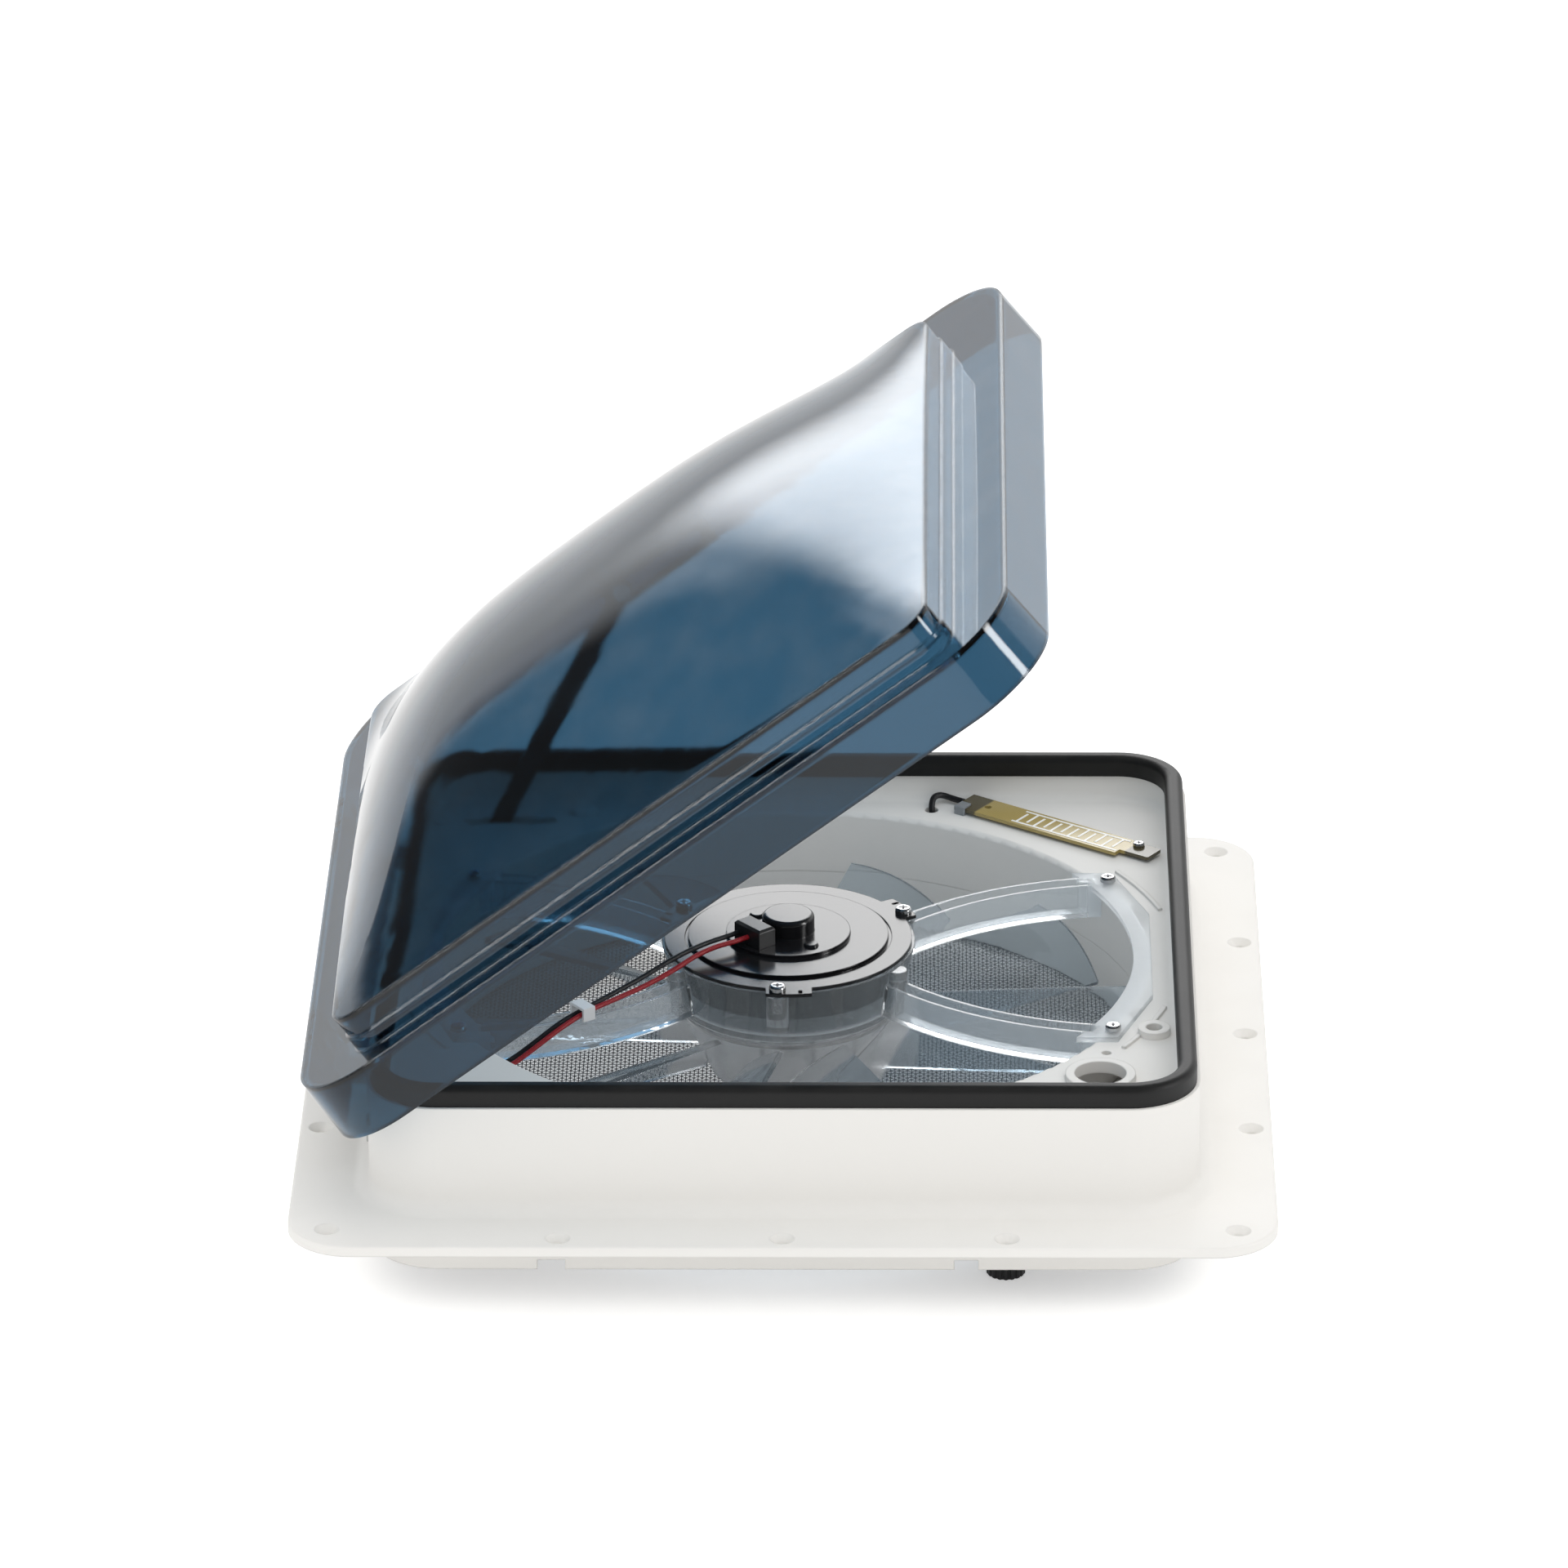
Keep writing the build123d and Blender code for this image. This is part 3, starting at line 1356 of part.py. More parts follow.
hinge_pin_radius = 2.0
leaf_half = 18.0
leaf_height = 23.0
leaf_thickness = 1.5
knuckle_half = 7.0
knuckle_gap = 0.4
rivet_y = 10.0
rivet_height = 15.0
rivet_radius = 1.6
rivet_head = 3.0
rivet_head_height = 1.2

lid_turn = radians(lid_opening)
lid_plane = Plane(
    origin=(hinge_x, 0, hinge_height),
    x_dir=(cos(lid_turn), 0, sin(lid_turn)),
    z_dir=(-sin(lid_turn), 0, cos(lid_turn)),
)
skirt_lean = atan2(skirt_flare, skirt_height)
skirt_draft = degrees(skirt_lean)
skirt_bottom = lid_rim_height - skirt_height
skirt_foot_x = -hinge_x - lid_half_x - skirt_flare
skirt_face = skirt_foot_x * cos(skirt_lean) - skirt_bottom * sin(skirt_lean)
lean_x = lid_plane.x_dir * cos(skirt_lean) - lid_plane.z_dir * sin(skirt_lean)


def skirt_plane(depth):
    """Plane along the hinge side of the skirt, its x along the hinge and y up the skirt."""
    return Plane(origin=lid_plane.origin + lean_x * depth, x_dir=lid_plane.y_dir, z_dir=lean_x)


lid_middle = -hinge_x


def lid_side(x):
    """Plane across the lid at a distance from the hinge, its x along the hinge."""
    return Plane(
        origin=lid_plane.from_local_coords((x, 0, 0)), x_dir=lid_plane.y_dir, z_dir=lid_plane.x_dir
    )


def lid_form(inset, drop):
    """Outer form of the lid, or the hollow under its wall."""
    left = lid_middle + dome_left + inset
    right = lid_middle + dome_right - inset
    front = dome_front + inset
    back = dome_back - inset
    middle = ((left + right) / 2, (front + back) / 2)
    with BuildPart() as form:
        with BuildSketch(lid_plane.offset(skirt_bottom)):
            with Locations((lid_middle, 0)):
                RectangleRounded(
                    2 * (lid_half_x + skirt_flare - inset), 2 * (lid_half_y + skirt_flare - inset),
                    lid_corner - inset,
                )
        extrude(amount=skirt_height - inset, taper=skirt_draft)
        with BuildSketch(lid_plane.offset(lid_rim_height - inset)):
            with Locations(middle):
                RectangleRounded(right - left, back - front, dome_corner - inset)
        extrude(amount=lower_tier)
        with BuildSketch(lid_plane.offset(lid_rim_height - inset + lower_tier)):
            with Locations(middle):
                RectangleRounded(
                    right - left - 2 * tier_ledge, back - front - 2 * tier_ledge,
                    dome_corner - inset - tier_ledge,
                )
        extrude(amount=upper_tier)
        if drop:
            with BuildSketch(lid_plane.offset(skirt_bottom)):
                with Locations((lid_middle, 0)):
                    RectangleRounded(
                        2 * (lid_half_x + skirt_flare - inset),
                        2 * (lid_half_y + skirt_flare - inset), lid_corner - inset,
                    )
            extrude(amount=-drop)
    return form.part


def lid_pillow(inset):
    """Crowned top of the dome, lofted from arcs across it."""
    left = lid_middle + dome_left + inset + tier_ledge
    right = lid_middle + dome_right - inset - tier_ledge
    front = dome_front + inset + tier_ledge
    back = dome_back - inset - tier_ledge
    foot = lid_rim_height + lower_tier + upper_tier - inset
    sections = []
    reach = (right - left) / 2 + overrun
    for share in pillow_shares:
        rise = pillow_rise * (1 - abs(share) ** pillow_power) + pillow_edge_rise
        x = (left + right) / 2 + share * reach
        with BuildSketch(lid_side(x)) as section:
            with BuildLine():
                Line((front, foot), (front, foot - overrun))
                Line((front, foot - overrun), (back, foot - overrun))
                Line((back, foot - overrun), (back, foot))
                ThreePointArc((back, foot), ((front + back) / 2, foot + rise), (front, foot))
            make_face()
        sections.append(section.sketch)
    with BuildPart() as pillow:
        loft(sections)
        with BuildSketch(lid_plane.offset(foot - overrun)):
            with Locations(((left + right) / 2, (front + back) / 2)):
                RectangleRounded(right - left, back - front, dome_corner - inset - tier_ledge)
        extrude(amount=2 * pillow_rise, mode=Mode.INTERSECT)
    return pillow.part


# Lift geometry: the arm's pin runs in a rail under the dome as the lid turns

lift_pivot_x = -117.0
lift_pivot_z = 27.0
rail_height = 23.0
pin_travel_start = 161.2
arm_lean = 63.8
arm_bar_width = 9.6
arm_thickness = 3.0
arm_pin_radius = 3.0
rail_slack = 1.25
rail_wall = 2.0
rail_gap = 0.4
rail_edge = 3.2
rail_end_room = 5.0
rail_leg_width = 12.0
rail_leg_height = 29.6
rail_boss_radius = 4.0
rail_boss_inset = 8.0
rail_screw_radius = 1.5
rail_screw_head = 2.8
rail_screw_head_height = 1.4
rail_screw_reach = 8.0

pin_open = lid_plane.from_local_coords((pin_travel_start, 0, rail_height))
arm_reach = hypot(pin_open.X - lift_pivot_x, pin_open.Z - lift_pivot_z)
arm_open_angle = degrees(atan2(pin_open.Z - lift_pivot_z, pin_open.X - lift_pivot_x))
arm_shut_angle = degrees(asin((hinge_height + rail_height - lift_pivot_z) / arm_reach))
arm_swing = arm_open_angle - arm_shut_angle
arm_ratio = arm_swing / lid_opening
pin_travel_end = lift_pivot_x + arm_reach * cos(radians(arm_shut_angle)) - hinge_x
print("arm reach", round(arm_reach, 3), "swing", round(arm_swing, 3), "ratio", round(arm_ratio, 5))
print("pin travel", round(pin_travel_start, 2), round(pin_travel_end, 2))

rail_back = lift_y + arm_thickness / 2 + rail_gap + rail_wall
rail_start = pin_travel_start - arm_pin_radius - rail_slack - rail_end_room
rail_end = pin_travel_end + arm_pin_radius + rail_slack + rail_end_room
rail_boss_places = (rail_start + rail_boss_inset, rail_end - rail_boss_inset)
rail_boss_y = rail_back - rail_wall - rail_leg_width / 2
slot_half = arm_pin_radius + rail_slack
boss_roof = lid_rim_height + lower_tier + upper_tier + lid_thickness / 2

lid_shell = lid_form(0, 0) + lid_pillow(0)
lid_hollow = lid_form(lid_thickness, overrun) + lid_pillow(lid_thickness)

with BuildPart() as lid_dome:
    add(lid_shell)
    add(lid_hollow, mode=Mode.SUBTRACT)
    with BuildSketch(lid_plane.offset(rail_leg_height + rail_wall)):
        with Locations(*[(x, rail_boss_y) for x in rail_boss_places]):
            Circle(rail_boss_radius)
    extrude(amount=boss_roof - rail_leg_height - rail_wall)
    with BuildSketch(lid_plane.offset(rail_leg_height + rail_wall)):
        with Locations(*[(x, rail_boss_y) for x in rail_boss_places]):
            Circle(rail_screw_radius)
    extrude(amount=rail_screw_reach, mode=Mode.SUBTRACT)
    for side in (-1, 1):
        with BuildSketch(lid_plane.offset(skirt_bottom - overrun)):
            with Locations((0, side * bracket_y)):
                Rectangle(4 * barrel_radius + 2 * lid_thickness, 2 * hinge_notch_half)
        extrude(amount=hinge_notch_height - skirt_bottom + overrun, mode=Mode.SUBTRACT)
        with BuildSketch(skirt_plane(skirt_face - overrun)):
            for step in (-1, 1):
                with Locations((side * bracket_y + step * rivet_y, rivet_height)):
                    Circle(rivet_radius)
        extrude(amount=lid_thickness + 2 * overrun, mode=Mode.SUBTRACT)

lid_dome.part.label = "lid_dome"
export_step(lid_dome.part, "parts/lid_dome.step")

# Hinges: leaves riveted to the skirt, brackets screwed to the curb wall, pins between them

hinge_sides = (-1, 1)
with BuildPart() as lid_hinge_leaves:
    for side in hinge_sides:
        place = side * bracket_y
        with BuildSketch(skirt_plane(skirt_face)):
            with Locations((place, leaf_height / 2)):
                Rectangle(2 * leaf_half, leaf_height)
        extrude(amount=-leaf_thickness)
        with BuildSketch(Plane.XZ.offset(-place - leaf_half)):
            with Locations((hinge_x, hinge_height)):
                Circle(barrel_radius)
        extrude(amount=2 * leaf_half)
        with BuildSketch(Plane.XZ.offset(-place - knuckle_half - knuckle_gap)):
            with Locations((hinge_x, hinge_height)):
                Circle(barrel_radius + knuckle_gap)
        extrude(amount=2 * (knuckle_half + knuckle_gap), mode=Mode.SUBTRACT)
        with BuildSketch(Plane.XZ.offset(-place - leaf_half - overrun)):
            with Locations((hinge_x, hinge_height)):
                Circle(hinge_pin_radius + running_clearance)
        extrude(amount=2 * (leaf_half + overrun), mode=Mode.SUBTRACT)
        with BuildSketch(skirt_plane(skirt_face)):
            for step in (-1, 1):
                with Locations((place + step * rivet_y, rivet_height)):
                    Circle(rivet_radius)
        extrude(amount=-leaf_thickness, mode=Mode.SUBTRACT)

lid_hinge_leaves.part.label = "lid_hinge_leaves"
export_step(lid_hinge_leaves.part, "parts/lid_hinge_leaves.step")

with BuildPart() as leaf_rivets:
    for side in hinge_sides:
        for step in (-1, 1):
            spot = (side * bracket_y + step * rivet_y, rivet_height)
            with BuildSketch(skirt_plane(skirt_face - leaf_thickness)):
                with Locations(spot):
                    Circle(rivet_head)
            extrude(amount=-rivet_head_height)
            with BuildSketch(skirt_plane(skirt_face - leaf_thickness)):
                with Locations(spot):
                    Circle(rivet_radius)
            extrude(amount=leaf_thickness + lid_thickness * cos(skirt_lean))
            with BuildSketch(skirt_plane(skirt_face + lid_thickness * cos(skirt_lean))):
                with Locations(spot):
                    Circle(rivet_head)
            extrude(amount=rivet_head_height)

leaf_rivets.part.label = "leaf_rivets"
export_step(leaf_rivets.part, "parts/leaf_rivets.step")

bracket_thickness = 2.0
bracket_half = 17.0
bracket_low = 13.0
bracket_high = 45.0
bracket_arm_height = 5.0

with BuildPart() as hinge_brackets:
    for side in hinge_sides:
        place = side * bracket_y
        with BuildSketch(Plane.YZ.offset(-wall_half)):
            with Locations((place, (bracket_low + bracket_high) / 2)):
                RectangleRounded(2 * bracket_half, bracket_high - bracket_low, bracket_thickness)
            for step in (-1, 1):
                with Locations((place + step * bracket_screw_offset, bracket_screw_height)):
                    Circle(bracket_screw_radius + screw_clearance, mode=Mode.SUBTRACT)
        extrude(amount=-bracket_thickness)
        with BuildSketch(Plane.YZ.offset(-wall_half)):
            with Locations((place, hinge_height)):
                Rectangle(2 * knuckle_half, bracket_arm_height)
        extrude(amount=hinge_x + wall_half)
        with BuildSketch(Plane.XZ.offset(-place - knuckle_half)):
            with Locations((hinge_x, hinge_height)):
                Circle(barrel_radius)
        extrude(amount=2 * knuckle_half)
        with BuildSketch(Plane.XZ.offset(-place - knuckle_half)):
            with Locations((hinge_x, hinge_height)):
                Circle(hinge_pin_radius)
        extrude(amount=2 * knuckle_half, mode=Mode.SUBTRACT)

hinge_brackets.part.label = "hinge_brackets"
export_step(hinge_brackets.part, "parts/hinge_brackets.step")

pin_head_radius = 3.2
pin_head_height = 1.0

with BuildPart() as hinge_pins:
    for side in hinge_sides:
        end = -side * bracket_y - leaf_half - face_gap
        with BuildSketch(Plane.XZ.offset(end)):
            with Locations((hinge_x, hinge_height)):
                Circle(hinge_pin_radius)
        extrude(amount=2 * (leaf_half + face_gap))
        with BuildSketch(Plane.XZ.offset(end)):
            with Locations((hinge_x, hinge_height)):
                Circle(pin_head_radius)
        extrude(amount=-pin_head_height)

hinge_pins.part.label = "hinge_pins"
export_step(hinge_pins.part, "parts/hinge_pins.step")

bracket_screw_head = 3.3
bracket_screw_head_height = 2.2
wall_screw = pan_screw(
    bracket_screw_radius, bracket_screw_head, bracket_screw_head_height,
    bracket_thickness + wall_width - 2 * overrun,
)
wall_screw_planes = []
for side in hinge_sides:
    for step in (-1, 1):
        wall_screw_planes.append(Plane(
            origin=(
                -wall_half - bracket_thickness,
                side * bracket_y + step * bracket_screw_offset,
                bracket_screw_height,
            ),
            z_dir=(-1, 0, 0),
        ))
hinge_bracket_screws = placed(wall_screw, wall_screw_planes, "hinge_bracket_screws")
export_step(hinge_bracket_screws, "parts/hinge_bracket_screws.step")

# Lift rail: folded strip with a slot for the arm's pin, screwed under the dome


def lid_web(y):
    """Plane across the hinge at a place along it, its x out from the hinge."""
    return Plane(
        origin=lid_plane.from_local_coords((0, y, 0)), x_dir=lid_plane.x_dir,
        z_dir=-lid_plane.y_dir,
    )


with BuildPart() as lift_rail:
    rail_foot = rail_height - slot_half - rail_edge
    with BuildSketch(lid_web(rail_back)):
        with Locations((
            (rail_start + rail_end) / 2, (rail_foot + rail_leg_height + rail_wall) / 2
        )):
            Rectangle(rail_end - rail_start, rail_leg_height + rail_wall - rail_foot)
    extrude(amount=rail_wall)
    with BuildSketch(lid_web(rail_back)):
        bar_sketch((pin_travel_start, rail_height), (pin_travel_end, rail_height), 2 * slot_half)
    extrude(amount=rail_wall, mode=Mode.SUBTRACT)
    with BuildSketch(lid_plane.offset(rail_leg_height)):
        with Locations(((rail_start + rail_end) / 2, rail_back - (rail_leg_width + rail_wall) / 2)):
            Rectangle(rail_end - rail_start, rail_leg_width + rail_wall)
        with Locations(*[(x, rail_boss_y) for x in rail_boss_places]):
            Circle(rail_screw_radius + screw_clearance, mode=Mode.SUBTRACT)
    extrude(amount=rail_wall)

lift_rail.part.label = "lift_rail"
export_step(lift_rail.part, "parts/lift_rail.step")

rail_screw = pan_screw(
    rail_screw_radius, rail_screw_head, rail_screw_head_height, rail_wall + rail_screw_reach
)
rail_screw_planes = []
for x in rail_boss_places:
    rail_screw_planes.append(Plane(
        origin=lid_plane.from_local_coords((x, rail_boss_y, rail_leg_height)),
        x_dir=lid_plane.x_dir, z_dir=-lid_plane.z_dir,
    ))
rail_screws = placed(rail_screw, rail_screw_planes, "rail_screws")
export_step(rail_screws, "parts/rail_screws.step")

# Lift arm: cranked bar with a toothed sector, turned by a geared motor under the deck

elbow_height = 36.0
arm_hub_radius = 8.5
arm_shaft_radius = 3.0
arm_shaft_head = 5.5
arm_shaft_head_height = 1.2
arm_pin_head = 4.2
arm_pin_head_height = 1.2
sector_thickness = 3.0
pinion_direction = -80.0
gear_module = 1.25
sector_teeth_full = 48
pinion_teeth = 12
sector_first = -2
sector_last = 9
gear_pressure = radians(20.0)
sector_addendum = 1.0
pinion_addendum = 1.25
gear_dedendum = 1.6
gear_backlash = 0.16
flank_steps = 4
gear_bore = 2.0
lift_plate_gap = 0.5
lift_plate_thickness = 3.0
lift_plate_left = -133.0
lift_plate_right = -96.0
lift_plate_bottom = -20.5
lift_flange_depth = 18.0
lift_flange_thickness = 2.4
lift_flange_left = -138.0
lift_flange_right = -90.0
lift_motor_radius = 10.0
lift_motor_length = 19.0
lift_motor_bore_depth = 12.0
lift_motor_edge = 1.5
lift_screw_head = 3.0
lift_screw_head_height = 2.0

lean = radians(arm_lean)
elbow_back = (pin_open.Z - elbow_height) / sin(lean)
elbow = (pin_open.X - elbow_back * cos(lean), elbow_height)
pivot = (lift_pivot_x, lift_pivot_z)
pin_place = (pin_open.X, pin_open.Z)
arm_back = lift_y + arm_thickness / 2
sector_back = arm_back + sector_thickness
lift_plate_front = sector_back + lift_plate_gap
lift_plate_back = lift_plate_front + lift_plate_thickness

with BuildPart() as lift_arm:
    with BuildSketch(Plane.XZ.offset(-arm_back)):
        bar_sketch(pivot, elbow, arm_bar_width)
        bar_sketch(elbow, pin_place, arm_bar_width)
        with Locations(pivot):
            Circle(arm_hub_radius)
            Circle(arm_shaft_radius + running_clearance, mode=Mode.SUBTRACT)
        with Locations(pin_place):
            Circle(arm_pin_radius, mode=Mode.SUBTRACT)
    extrude(amount=arm_thickness)

lift_arm.part.label = "lift_arm"
export_step(lift_arm.part, "parts/lift_arm.step")

with BuildPart() as arm_pin:
    with BuildSketch(Plane.XZ.offset(-rail_back - face_gap / 2)):
        with Locations(pin_place):
            Circle(arm_pin_radius)
    extrude(amount=rail_back + face_gap / 2 - arm_back + arm_thickness)
    with BuildSketch(Plane.XZ.offset(-arm_back + arm_thickness)):
        with Locations(pin_place):
            Circle(arm_pin_head)
    extrude(amount=arm_pin_head_height)

arm_pin.part.label = "arm_pin"
export_step(arm_pin.part, "parts/arm_pin.step")


def gear_tooth(teeth, addendum, centre, direction):
    """Closed outline of one tooth, its flanks on the involute of the base circle."""
    pitch = gear_module * teeth / 2
    base = pitch * cos(gear_pressure)
    root = pitch - gear_dedendum
    tip = pitch + addendum
    foot = max(root, base)
    half = pi / (2 * teeth) - gear_backlash / (4 * pitch)
    rolled = half + tan(gear_pressure) - gear_pressure
    flank = []
    for step in range(flank_steps + 1):
        reach = foot + (tip - foot) * step / flank_steps
        slant = acos(min(1, base / reach))
        flank.append((reach, rolled - tan(slant) + slant))
    flank.insert(0, (root - gear_backlash, flank[0][1]))
    turned = [(reach, -angle) for reach, angle in flank]
    outline = turned + flank[::-1]
    return [
        (
            centre[0] + reach * cos(radians(direction) + angle),
            centre[1] + reach * sin(radians(direction) + angle),
        )
        for reach, angle in outline
    ]


sector_pitch_radius = gear_module * sector_teeth_full / 2
pinion_pitch_radius = gear_module * pinion_teeth / 2
gear_distance = sector_pitch_radius + pinion_pitch_radius
pinion_turn = radians(pinion_direction)
pinion_place = (
    lift_pivot_x + gear_distance * cos(pinion_turn),
    lift_pivot_z + gear_distance * sin(pinion_turn),
)
sector_step = 360 / sector_teeth_full
pinion_step = 360 / pinion_teeth
gear_ratio = sector_teeth_full / pinion_teeth
print("pivot", pivot, "pinion", [round(v, 4) for v in pinion_place], "gear ratio", gear_ratio)

with BuildPart() as sector_gear:
    sector_start = pinion_direction + (sector_first - 1 / 2) * sector_step
    sector_sweep = (sector_last - sector_first + 1) * sector_step
    sector_root = sector_pitch_radius - gear_dedendum
    with BuildSketch(Plane.XZ.offset(-sector_back)):
        with BuildLine():
            rim = CenterArc(pivot, sector_root, sector_start, sector_sweep)
            Line(rim @ 1, pivot)
            Line(pivot, rim @ 0)
        make_face()
        for tooth in range(sector_first, sector_last + 1):
            with BuildLine():
                Polyline(
                    *gear_tooth(
                        sector_teeth_full, sector_addendum, pivot,
                        pinion_direction + tooth * sector_step,
                    ),
                    close=True,
                )
            make_face()
        with Locations(pivot):
            Circle(arm_hub_radius)
            Circle(arm_shaft_radius + running_clearance, mode=Mode.SUBTRACT)
    extrude(amount=sector_thickness)

sector_gear.part.label = "sector_gear"
export_step(sector_gear.part, "parts/sector_gear.step")

with BuildPart() as drive_pinion:
    with BuildSketch(Plane.XZ.offset(-sector_back)):
        with Locations(pinion_place):
            Circle(pinion_pitch_radius - gear_dedendum)
        for tooth in range(pinion_teeth):
            direction = pinion_direction + 180 + (tooth + 1 / 2) * pinion_step
            with BuildLine():
                Polyline(
                    *gear_tooth(pinion_teeth, pinion_addendum, pinion_place, direction), close=True
                )
            make_face()
    extrude(amount=sector_thickness)
    with BuildSketch(Plane.XZ.offset(-sector_back)):
        with Locations(pinion_place):
            Circle(gear_bore)
    extrude(amount=-(lift_plate_back - sector_back + lift_motor_bore_depth - overrun))

drive_pinion.part.label = "drive_pinion"
export_step(drive_pinion.part, "parts/drive_pinion.step")

with BuildPart() as arm_shaft:
    shaft_front = lift_y - arm_thickness / 2 - face_gap
    with BuildSketch(Plane.XZ.offset(-lift_plate_back)):
        with Locations(pivot):
            Circle(arm_shaft_radius)
    extrude(amount=lift_plate_back - shaft_front)
    with BuildSketch(Plane.XZ.offset(-shaft_front)):
        with Locations(pivot):
            Circle(arm_shaft_head)
    extrude(amount=arm_shaft_head_height)

arm_shaft.part.label = "arm_shaft"
export_step(arm_shaft.part, "parts/arm_shaft.step")

with BuildPart() as lift_bracket:
    with BuildSketch(Plane.XZ.offset(-lift_plate_back)):
        with Locations((
            (lift_plate_left + lift_plate_right) / 2, (lift_plate_bottom + deck_bottom) / 2
        )):
            Rectangle(lift_plate_right - lift_plate_left, deck_bottom - lift_plate_bottom)
        with Locations(pivot):
            Circle(arm_shaft_radius, mode=Mode.SUBTRACT)
        with Locations(pinion_place):
            Circle(gear_bore + face_gap, mode=Mode.SUBTRACT)
    extrude(amount=lift_plate_thickness)
    with BuildSketch(Plane.XY.offset(deck_bottom - lift_flange_thickness)):
        with Locations((
            (lift_flange_left + lift_flange_right) / 2, lift_plate_back + lift_flange_depth / 2
        )):
            Rectangle(lift_flange_right - lift_flange_left, lift_flange_depth)
        with Locations(*[(x, lift_flange_y) for x in lift_flange_screws]):
            Circle(deck_pilot_radius + screw_clearance, mode=Mode.SUBTRACT)
    extrude(amount=lift_flange_thickness)

lift_bracket.part.label = "lift_bracket"
export_step(lift_bracket.part, "parts/lift_bracket.step")

lift_screw = pan_screw(
    deck_pilot_radius, lift_screw_head, lift_screw_head_height,
    lift_flange_thickness + deck_pilot_depth,
)
lift_screw_planes = []
for x in lift_flange_screws:
    lift_screw_planes.append(Plane(
        origin=(x, lift_flange_y, deck_bottom - lift_flange_thickness), z_dir=(0, 0, -1)
    ))
lift_bracket_screws = placed(lift_screw, lift_screw_planes, "lift_bracket_screws")
export_step(lift_bracket_screws, "parts/lift_bracket_screws.step")

with BuildPart() as lift_motor:
    with BuildSketch(Plane.XZ.offset(-lift_plate_back)):
        with Locations(pinion_place):
            Circle(lift_motor_radius)
    extrude(amount=-lift_motor_length)
    fillet(lift_motor.edges().group_by(Axis.Y)[-1], lift_motor_edge)
    with BuildSketch(Plane.XZ.offset(-lift_plate_back)):
        with Locations(pinion_place):
            Circle(gear_bore + running_clearance)
    extrude(amount=-lift_motor_bore_depth, mode=Mode.SUBTRACT)

lift_motor.part.label = "lift_motor"
export_step(lift_motor.part, "parts/lift_motor.step")
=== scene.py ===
# %% [markdown]
# # Caravan roof vent: looks
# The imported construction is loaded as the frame. Nothing in it is moved. Each CAD piece gets a
# finish, the insect screen is replaced by a real weave, and the studio light follows the photo.

import json
from math import cos, pi, radians, sin, sqrt

import bpy
from mathutils import Matrix, Vector


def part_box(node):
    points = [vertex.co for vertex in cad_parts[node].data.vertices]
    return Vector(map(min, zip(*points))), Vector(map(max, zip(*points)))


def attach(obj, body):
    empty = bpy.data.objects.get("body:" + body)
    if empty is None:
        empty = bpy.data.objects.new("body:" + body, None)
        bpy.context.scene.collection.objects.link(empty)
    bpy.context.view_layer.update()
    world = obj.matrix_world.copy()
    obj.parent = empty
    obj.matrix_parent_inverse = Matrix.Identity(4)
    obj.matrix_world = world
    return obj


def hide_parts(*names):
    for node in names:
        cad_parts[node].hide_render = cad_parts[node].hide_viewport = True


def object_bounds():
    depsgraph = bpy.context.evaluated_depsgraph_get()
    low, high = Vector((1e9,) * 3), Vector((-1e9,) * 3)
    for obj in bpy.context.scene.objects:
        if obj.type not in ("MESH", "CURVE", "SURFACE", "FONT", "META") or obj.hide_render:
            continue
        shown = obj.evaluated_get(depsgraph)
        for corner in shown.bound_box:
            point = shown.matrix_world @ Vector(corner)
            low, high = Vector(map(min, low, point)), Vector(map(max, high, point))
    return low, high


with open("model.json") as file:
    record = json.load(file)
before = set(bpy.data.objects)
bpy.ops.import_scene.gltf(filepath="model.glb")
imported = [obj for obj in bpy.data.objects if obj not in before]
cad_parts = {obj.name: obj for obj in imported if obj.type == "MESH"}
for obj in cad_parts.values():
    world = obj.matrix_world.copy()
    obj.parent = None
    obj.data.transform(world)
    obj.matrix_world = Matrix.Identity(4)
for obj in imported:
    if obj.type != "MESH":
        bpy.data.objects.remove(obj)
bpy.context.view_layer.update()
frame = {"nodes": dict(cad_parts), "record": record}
scene = bpy.context.scene
mm = 0.001

# %% [markdown]
# ## Small helpers for shader trees
# Each finish is a tree of nodes. These helpers keep the cells short: one adds a node and feeds its
# inputs, others do a step of arithmetic, a soft threshold or a blend of colours, and the last makes
# a node group with named inputs and outputs.


# %% Node helpers
def feed(tree, socket, value):
    """Links a socket to an input, or sets the input to a plain value."""
    if isinstance(value, bpy.types.NodeSocket):
        tree.links.new(value, socket)
    else:
        socket.default_value = value


def add(tree, kind, settings=None, **inputs):
    """Adds a node and feeds its inputs, named by label or, as i0, i1 and so on, by place."""
    node = tree.nodes.new(kind)
    for name, value in (settings or {}).items():
        setattr(node, name, value)
    for name, value in inputs.items():
        key = int(name[1:]) if name[1:].isdigit() else name.replace("_", " ")
        feed(tree, node.inputs[key], value)
    return node


def maths(tree, operation, a, b=0.0, c=0.0):
    """One step of arithmetic, its result as a socket."""
    return add(tree, "ShaderNodeMath", {"operation": operation}, i0=a, i1=b, i2=c).outputs[0]


def fade(tree, value, start, end, low=0.0, high=1.0):
    """A smooth step of a value, from low at start to high at end."""
    node = add(tree, "ShaderNodeMapRange", {"interpolation_type": "SMOOTHSTEP"}, Value=value)
    for name, number in (("From Min", start), ("From Max", end), ("To Min", low), ("To Max", high)):
        node.inputs[name].default_value = number
    return node.outputs[0]


def mix_colour(tree, factor, first, second):
    """Blend of two colours by a factor."""
    settings = {"data_type": "RGBA"}
    return add(tree, "ShaderNodeMix", settings, i0=factor, i6=first, i7=second).outputs[2]


